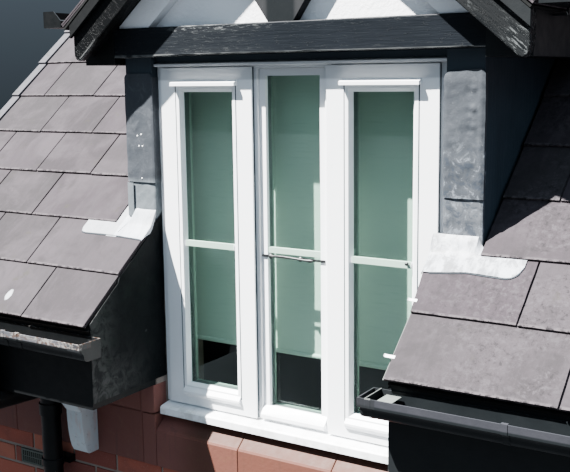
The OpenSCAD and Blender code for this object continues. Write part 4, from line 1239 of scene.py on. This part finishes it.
def aprons():
    """Soft lead trays at the posts' feet, laid over the lower slates and turned up the post."""
    for side, name, line in (
            (-1, "left_apron", ((550, 299), (561, 301), (620, 304), (697, 307), (830, 307), (846, 310),
                                (853, 316), (855, 324))),
            (1, "right_apron", ((516, 291), (548, 292), (600, 297), (659, 303), (720, 299.5), (777, 297),
                                (797, 301), (811, 313), (820, 336)))):
        left, last = side < 0, line[-1][0]

        def front(x):
            for (xa, ya), (xb, yb) in zip(line, line[1:]):
                if xa <= x <= xb:
                    return ya + (yb - ya) * (x - xa) / (xb - xa)
            return line[-1][1]

        def edge(column, y):
            """Where a column stands and how far it hangs: the first four roll over the slates' cut edge."""
            if column > 3:
                return column, 0.0
            if left:
                hang = 1 + 22 * eased((y - 296) / 64)
                return ((552.0, hang), (552.1, hang * 0.5), (552.9, 2.4), (556, 0.5))[column]
            return 524 - (y - 292) * 0.05 + (0, 0.6, 2.4, 6)[column], (9, 5, 1.6, 0.3)[column]

        def laid(x, y, n):
            """A point of the sheet at a height over the slates."""
            return roof_z(y) + (n - sunk(y / COS)) / COS
        rows = []
        for t in shares(22):
            row = []
            for column in [0, 1, 2, 3] + spaced(561 if left else 537, last, 7):
                x, hang = edge(column, 340)
                y = front(x) + ((383.4 if x < 679 else 362) - front(x)) * t
                x, hang = edge(column, y)
                n = 2.6 + 0.9 * noise.noise(Vector((x / 45, t * 3, side))) + (0.6 if t == 0 else 0)
                fold = 682 - (y - 323) * 0.46 if left else 676
                upstand = (33 if left else 30) * eased((y - 343) / 44) ** 1.2 * eased((fold - x) / 12)
                row.append(at(side * x, y - 0.9 * (1 - t), laid(x, y, n) + upstand - hang))
            rows.append(facing_out(side, row))
        # Thin black tubes as painted shadow: under each apron's front edge, and along the fold of the left
        # one.
        edge_shadows = Shape()
        edge_shadows.tube([at(side * x, front(x) - 1.4, laid(x, front(x), 0.6))
                   for x in spaced(556 if left else 548, last - 1, 9)], 0.0013, 6)
        if left:
            edge_shadows.tube([at(25 * t - 679, 318 + 64 * t, laid(0, 318 + 64 * t, 3.4)) for t in shares(6)],
                      0.0009, 6)
        edge_shadows.made(f"{name}_dirt_line", BLACK, "lead")
        dressed(name, rows, 0.0020, 0.0010, 7 + side, PALE_LEAD, "lead_aprons")


def box_ends():
    """Lead dressed over the boxed ends of the eaves beside the window."""
    front, foot = 25.5, -274.5

    def free(co):
        x, y, z = in_source(co)
        return kept((y - front) / 20) * kept((z - foot) / 20)
    for side, name in ((-1, "left_box_end"), (1, "right_box_end")):
        rows = []
        for y in spaced(front, 414, 9):
            s = y / COS
            down = 13.5 + (s % GAUGE) / GAUGE * SLATE_STEP if side < 0 else 19.2 + s * 0.033
            top = roof_z(y) - down / COS
            rows.append([at(side * 553.6, y, foot + (top - foot) * t) for t in shares(44)])
        dressed(name, rows[::-side], 0.0022, 0.0042, 12 + side, BOX_LEAD, "box_end_lead", keep=free)


# Timber
def bargeboards():
    """Straight bargeboards with a blunt rounded foot, the packing behind and the capping on top."""
    front, seam, back = 276, 309, 345
    for side, end, name in ((-1, 812, "left_bargeboard"), (1, 836, "right_bargeboard")):
        def cut(x, down):
            return side * x, dormer_z(x, down)

        def board(y0, y1, outline):
            shape = Shape()
            shape.slab([at(x, y0, z) for x, z in outline], way(0, y1 - y0, 0))
            return shape

        def footed(low, foot):
            nose = [(side * (foot - short), dormer_z(foot - short * (short == 20), low) + up)
                    for short, up in ((0, 50), (2, 36), (9, 25), (20, 3))]
            return [cut(0, COVER + 1), cut(foot, COVER + 1), *nose, cut(foot - 32, low)] + \
                [cut(x, low) for x in spaced(foot - 60, 12, 40)] + [cut(0, low)]
        obj = board(front, seam, footed(148, end)).made(f"{name}_face", BARGE, "black_timber", name,
                                                        bevel=0.003, segments=2, limit=38)
        # Flags on the boards' lower front arris, kept in the "up" attribute: where the finish paints a
        # highlight at the left foot
        arris = []
        for vertex in obj.data.vertices:
            x, y, z = in_source(vertex.co)
            arris.append(float(y < front + 5 and (dormer_z(x) - z) * COS > 144))
        obj.data.attributes.new("up", "FLOAT", "POINT").data.foreach_set("value", arris)
        packing = board(seam, back, footed(140, end - 6))
        packing.made(f"{name}_packing", BARGE, "black_timber", bevel=0.002, limit=38)
        outline = [cut(0, COVER + 1), cut(end + 6, COVER + 1), cut(end + 6, 69), cut(0, 69)]
        capping = board(front - 14, front + 0.2, outline)
        capping.made(f"{name}_capping", CAPPING, "black_timber", bevel=0.0015, limit=38)


def framing():
    """The gable's framing: king post and struts in black, the raking members in the render's finish."""
    obj = softened("gable_timbers", FRAMING, "black_timber", 0.002)
    obj.data.materials.append(RENDER.material)
    for face in obj.data.polygons:
        if abs(face.center.x) > 0.3:
            face.material_index = 1


def worn_beam():
    """The beam over the window: a hewn baulk with a rubbed lower arris."""
    shape, rings, half, back = Shape(), [], 687, 486.5
    for x in spaced(-half, half, 12):
        def stray(k, size):
            return noise.noise(Vector((x / 70, k * 3.3, 1.7))) * size
        low = BEAM_Z + 0.4 + abs(stray(2, 1.4)) - 5 * eased((-x - 200) / 480)
        front, top = 347.5 + abs(stray(1, 1.6)), BEAM_TOP - 0.4 - abs(stray(3, 1.5))
        chamfer = 2.6 + stray(4, 1.6)
        ring = [(front, low + chamfer), (front + chamfer * 0.35, low + chamfer * 0.35),
                (front + chamfer, low), (back, low), (back, top), (front + 3.5, top), (front, top - 3.5)]
        ring += [(front + abs(stray(5 + share, 1.3)), low + (top - low) * share)
                 for share in (0.75, 0.5, 0.25)]
        rings.append([at(x, y, z) for y, z in ring])
    shape.rings(rings)
    shape.made("worn_beam", BEAM_PAINT, "black_timber", "window_beam", smooth=28)


# Fittings
def latch():
    """The fastener on the bar: a long flat bar on two round studs, with a raised, curled handle."""
    shape, z, y = Shape(), 211, 426.6
    outline = (-122, -4), (122, -4), (125, 0), (122, 4), (-122, 4), (-125, 0)
    shape.slab([at(x, y, z + up) for x, up in outline], way(0, -4, 0))
    for x in (-88, 30):
        shape.tube([at(x, y - 3, z), at(x, y - 8, z), at(x, y - 11, z)], [0.0085, 0.0085, 0.005], 16)
    bow = [i / 11 * math.pi for i in range(15)]
    path = [at(-90 + 12 * i, 417 - 3.4 * math.sin(a), z + 1 + 3 * math.sin(a * 1.2))
            for i, a in enumerate(bow)]
    radii = [0.0048 - 0.0014 * math.sin(t * math.pi) for t in shares(14)]
    radii[-2:] = [0.0058, 0.0035]
    shape.tube(path, radii, 10)
    shape.made("window_fastener", LATCH, "latch", "window_latch", smooth=40)


def air_brick():
    """A clay air brick: a pale rim round two rows of upright slots."""
    gap = 0.4
    x0, x1, z0, z1 = VENT_LEFT + gap, VENT_RIGHT - gap, VENT_LOW + gap, VENT_HIGH - gap
    rim, back, rib = Shape(), Shape(), Shape()

    def ring(y, side, foot):
        left, right, low, high = x0 + side, x1 - side, z0 + foot, z1 - foot
        return [at(left, y, low), at(right, y, low), at(right, y, high), at(left, y, high)]
    turns = (358, 0, 0), (348.6, 0, 0), (348.6, 9, 8), (358, 9, 8), (358, 0, 0)
    rim.rings([ring(*turn) for turn in turns], capped=False)
    rim.made("air_brick_rim", VENT, "vent", "air_brick", bevel=0.0012)
    back.block(x0 + 8, x1 - 8, 357.2, 359, z0 + 7, z1 - 7)
    back.block(x0 + 8, x1 - 8, 350, 357, (z0 + z1) / 2 - 2, (z0 + z1) / 2 + 2)
    back.made("air_brick_back", VENT, "vent", bevel=0.0006)
    rib.block(x0 + 16, x0 + 20.5, 349.6, 357.5, z0 + 7.5, z1 - 7.5)
    rib.repeated("air_brick_ribs", VENT, "vent", 16, 11.95)


def blind():
    """The roller blind: a thin cloth that hangs off the front of its roller with a hem bar in its foot."""
    foot, top, y = -155, 817, 543
    cloth, bar = Shape(), Shape()
    cloth.grid([[at(x, y + 1.2 * noise.noise(Vector((x / 260, z / 420, 4))) * (1 if z < 700 else 0.3), z)
                 for x in spaced(-524.5, 524.5, 17)] for z in spaced(foot + 9, top, 14)])
    cloth = solidified(cloth.placed("blind_cloth", closed=False), 0.0009, 0)
    finished(cloth, BLIND, "blind", "roller_blind", smooth=60)
    bar.tube([at(x, y, foot + 1) for x in (-524, -522, 522, 524)], [0.0065, 0.0085, 0.0085, 0.0065], 16)
    hem = bar.made("blind_hem", BLIND, "blind", smooth=40)


def gutter_line(grow=0.0):
    """The main gutters' section in (y, z), from the lip down the front and under to the fascia."""
    fascia, top, width, depth = 25, -38, 100, 64
    line = [(-width, 0)]
    for share, lean, drop, angles in ((1, -0.2, -0.34, (90, 60, 30, 0)), (0.6, 0.2, 0.26, (60, 30, 0))):
        for angle in map(math.radians, angles):
            bow, fall = math.cos(angle), math.sin(angle)
            if lean > 0:
                bow, fall = fall, bow
            line.append((-width * (share + lean * bow), -depth * (0.74 + drop * fall)))
    line = [(fascia + y, top + z) for y, z in line + [(-2, -depth)]]
    grown_line = []
    for k, (y, z) in enumerate(line):
        a, b = line[max(k - 1, 0)], line[min(k + 1, len(line) - 1)]
        size = math.dist(a, b)
        grown_line.append((y - abs(b[1] - a[1]) / size * grow, z - abs(b[0] - a[0]) / size * grow))
    return grown_line


def gutter_straps():
    """Iron straps that clip over the lip of the main gutters and down their front."""
    for name, first, count, step in (("left_gutter_straps", -813, 1, 0), ("left_far_straps", -1660, 3, 390),
                                     ("right_gutter_straps", 907, 2, 480)):
        shape = Shape()
        shape.bar(first, gutter_line() + gutter_line(1.3)[::-1], 18)
        shape.block(first, first + 18, -76.2, -64, -38, -36.6)
        shape.repeated(name, LEAFY_IRON, "black_iron", count, step)


def gutter_end():
    """The stop on the right gutter's end, with its worn rim and the joint plate inside."""
    stop, plate, rim = Shape(), Shape(), Shape()
    stop.bar(530, gutter_line(0.6) + gutter_line(-2.6)[::-1], 18)
    stop.made("gutter_stop", LEAFY_IRON, "black_iron", bevel=0.0006)
    plate.bar(530, gutter_line() + [(25, -102), (25, -38)], 3)
    plate.made("gutter_stop_plate", IRON, "black_iron", bevel=0.0006)
    rim.tube([at(531.5, 24, -37.6), at(531.5, -74, -37.6), at(548, -74, -37.6)], 0.0017, 8)
    rim.block(552, 596, -64, 15, -51, -48.6)
    rim.made("gutter_stop_rim", CEMENT, "black_iron")


def slate_clips():
    """Two bent strips that hold the cut slates beside the window."""
    shape, place = Shape(), slate_place(1, "main")
    for x0, x1, s in ((523, 555, 74), (523, 550, 272)):
        rest = 0.8 - (s % GAUGE) / GAUGE * SLATE_STEP
        path = [(x1, rest), (x1 - 8, rest + 0.2), (x0 + 9, rest + 0.6), (x0 + 3, rest + 1.6), (x0, rest + 4)]
        under = [(x, n - 1.6) for x, n in path[:-1]] + [(x0 + 0.8, rest + 2.4)]
        shape.slab([place(x, s - 5, n) for x, n in path + under[::-1]], way(0, 10 * COS, 10 * SIN))
    shape.made("slate_clips", CLIP, "white_timber", bevel=0.0005)


def undercloak():
    """The pale strip under the overhanging slates on the right."""
    shape, place = Shape(), slate_place(1, "main")
    for s0, s1, n in ((5, 304, -15.2), (306, 392, -7.6)):
        a, b = n - s0 * 0.033, n - s1 * 0.033
        shape.slab([place(539 - s0 * 0.018, s0, a), place(556, s0, a), place(556, s1, b),
                    place(539 - max(0, s1 - 229) * 0.085, s1, b)], way(0, 3.4 * SIN, -3.4 * COS))
    shape.made("undercloak", CEMENT, "verge", bevel=0.0006)


def joinery():
    """The sashes: slimmer weather bars at the sides, mitred glazing beads, and black strips round them as
    painted shade in the gaps.
    """
    for node in ("left_casement", "right_casement"):
        obj = copy_of(node)
        face, top = at(0, 402, 0).y, at(0, 0, -297).z
        for v in obj.data.vertices:
            if v.co.y < face - 0.0003 and v.co.z < top + 0.001:
                v.co.y = face - (face - v.co.y) * 0.5
                v.co.z = top - (top - v.co.z) * 0.62
        finished(obj, SASH, "white_timber", node, bevel=0.0014, segments=2, limit=40)
    softened("centre_light", SASH, "white_timber", 0.0014)
    beads, gap_shadows, stud = Shape(), Shape(), Shape()
    bead = [(2, 403.5), (2, 401.6), (14.5, 401.6), (24.2, 415.2), (24.2, 417), (20, 417)]
    # a black strip on the sash face round each bead: painted shade in the joint
    gap = [(-1.6, 402.8), (-1.6, 401.7), (2.2, 401.7), (2.2, 402.8)]
    for centre in (-334.5, 334.5):
        for shape, section in ((beads, bead), (gap_shadows, gap)):
            shape.rings([[at(centre + i * (128 - u), y, 238.5 + k * (547 - u)) for u, y in section]
                         for i, k in ((-1, -1), (1, -1), (1, 1), (-1, 1), (-1, -1))], capped=False)
    # black strips as painted shade in the gaps at one edge of each side casement
    for x in (-143, 526):
        gap_shadows.block(x - 1, x + 0.3, 409, 417.5, -366, 843)
    beads.made("glazing_beads_dressed", SASH, "white_timber", bevel=0.0008, segments=2, limit=30)
    gap_shadows.made("sash_gaps", BLACK, "black_timber")
    stud.tube([at(426, 404, 236), at(426, 397, 236), at(426, 395, 236)], [0.0055, 0.0055, 0.0032], 14)
    stud.made("casement_stud", LATCH, "latch", smooth=40)


# The whole
for build in (roofs, verge_units, ridges, mortar_walls, brickwork, stones, post_leads, aprons, box_ends,
              worn_beam, bargeboards, framing, joinery, latch, air_brick, blind, gutter_straps, gutter_end,
              slate_clips, undercloak):
    build()

for finish, slot, width, limit, nodes in (
        (WHITE, "white_timber", 0.0014, 40, ("window_frame", "timber_sill")),
        (BLACK, "black_timber", 0.002, 40,
         ("left_post", "right_post", "head_packer", "left_cheek", "right_cheek")),
        (BOARD, "black_timber", 0.0015, 40, ("left_eaves_box", "right_eaves_box", "dormer_eaves")),
        (CORBEL, "terracotta", 0.003, 50, ("corbels",)),
        (RENDER, "white_render", 0.003, 40, ("gable_panel",))):
    for node in nodes:
        softened(node, finish, slot, width, limit)

for node, finish in (("window_glass", GLASS), ("main_gutters", LEAFY_IRON), ("dormer_gutters", IRON),
                     ("downpipe", IRON), ("valley_lead", LEAD), ("blind_roller", CLIP)):
    materials = bpy.data.objects[node].data.materials
    materials.clear()
    materials.append(finish.material)

# Floor, light and camera
floor = Shape()
floor.face([Vector((-25, -25, 0)), Vector((25, -25, 0)), Vector((25, 25, 0)), Vector((-25, 25, 0))])
floor = floor.placed("studio_floor", closed=False)
floor.data.materials.append(Finish("pale_floor", 0.9, 0.0, Base_Color=(0.032, 0.035, 0.039, 1)).material)

world = bpy.data.worlds.new("soft_studio")
world.use_nodes = True
sky = Nodes(world.node_tree)
outlook = sky.add("ShaderNodeTexCoord", out="Generated")
height, open_side = sky.axis("Z", outlook), sky.axis("X", outlook).rise(-0.1, 0.9)
strength = height.rise(0.25, 1.0) * 2.3 + height.rise(-0.1, 0.3) * (0.15 + open_side * 0.35) + 0.05
background = world.node_tree.nodes["Background"].inputs
background["Color"].default_value = (0.62, 0.81, 1.0, 1)
sky.tree.links.new(strength.link, background["Strength"])
bpy.context.scene.world = world

lamp = bpy.data.lights.new("key_light", "SUN")
lamp.energy, lamp.angle, lamp.color = 57, math.radians(0.7), (1.0, 0.985, 0.96)
linked("key_light", lamp).rotation_euler = Vector((1.0, 1.0, -2.25)).to_track_quat("-Z", "Y").to_euler()

camera_place = Vector((1.6946, -3.510, 1.869))
yaw, pitch, roll = math.radians(32.56), math.radians(9.34), 0.0124
forward = Vector((-math.sin(yaw) * math.cos(pitch), math.cos(yaw) * math.cos(pitch), -math.sin(pitch)))
level = Vector((math.cos(yaw), math.sin(yaw), 0))
down = forward.cross(level)
right = level * math.cos(roll) + down * math.sin(roll)
below = down * math.cos(roll) - level * math.sin(roll)
lens = bpy.data.cameras.new("photo_camera")
lens.sensor_width, lens.sensor_fit, lens.lens, lens.clip_start = 36, "HORIZONTAL", 36 * 973.7 / 570, 0.05
camera = linked("photo_camera", lens)
turned = Matrix((right, -below, -forward)).transposed().to_4x4()
camera.matrix_world = Matrix.Translation(camera_place) @ turned
bpy.context.scene.camera = camera
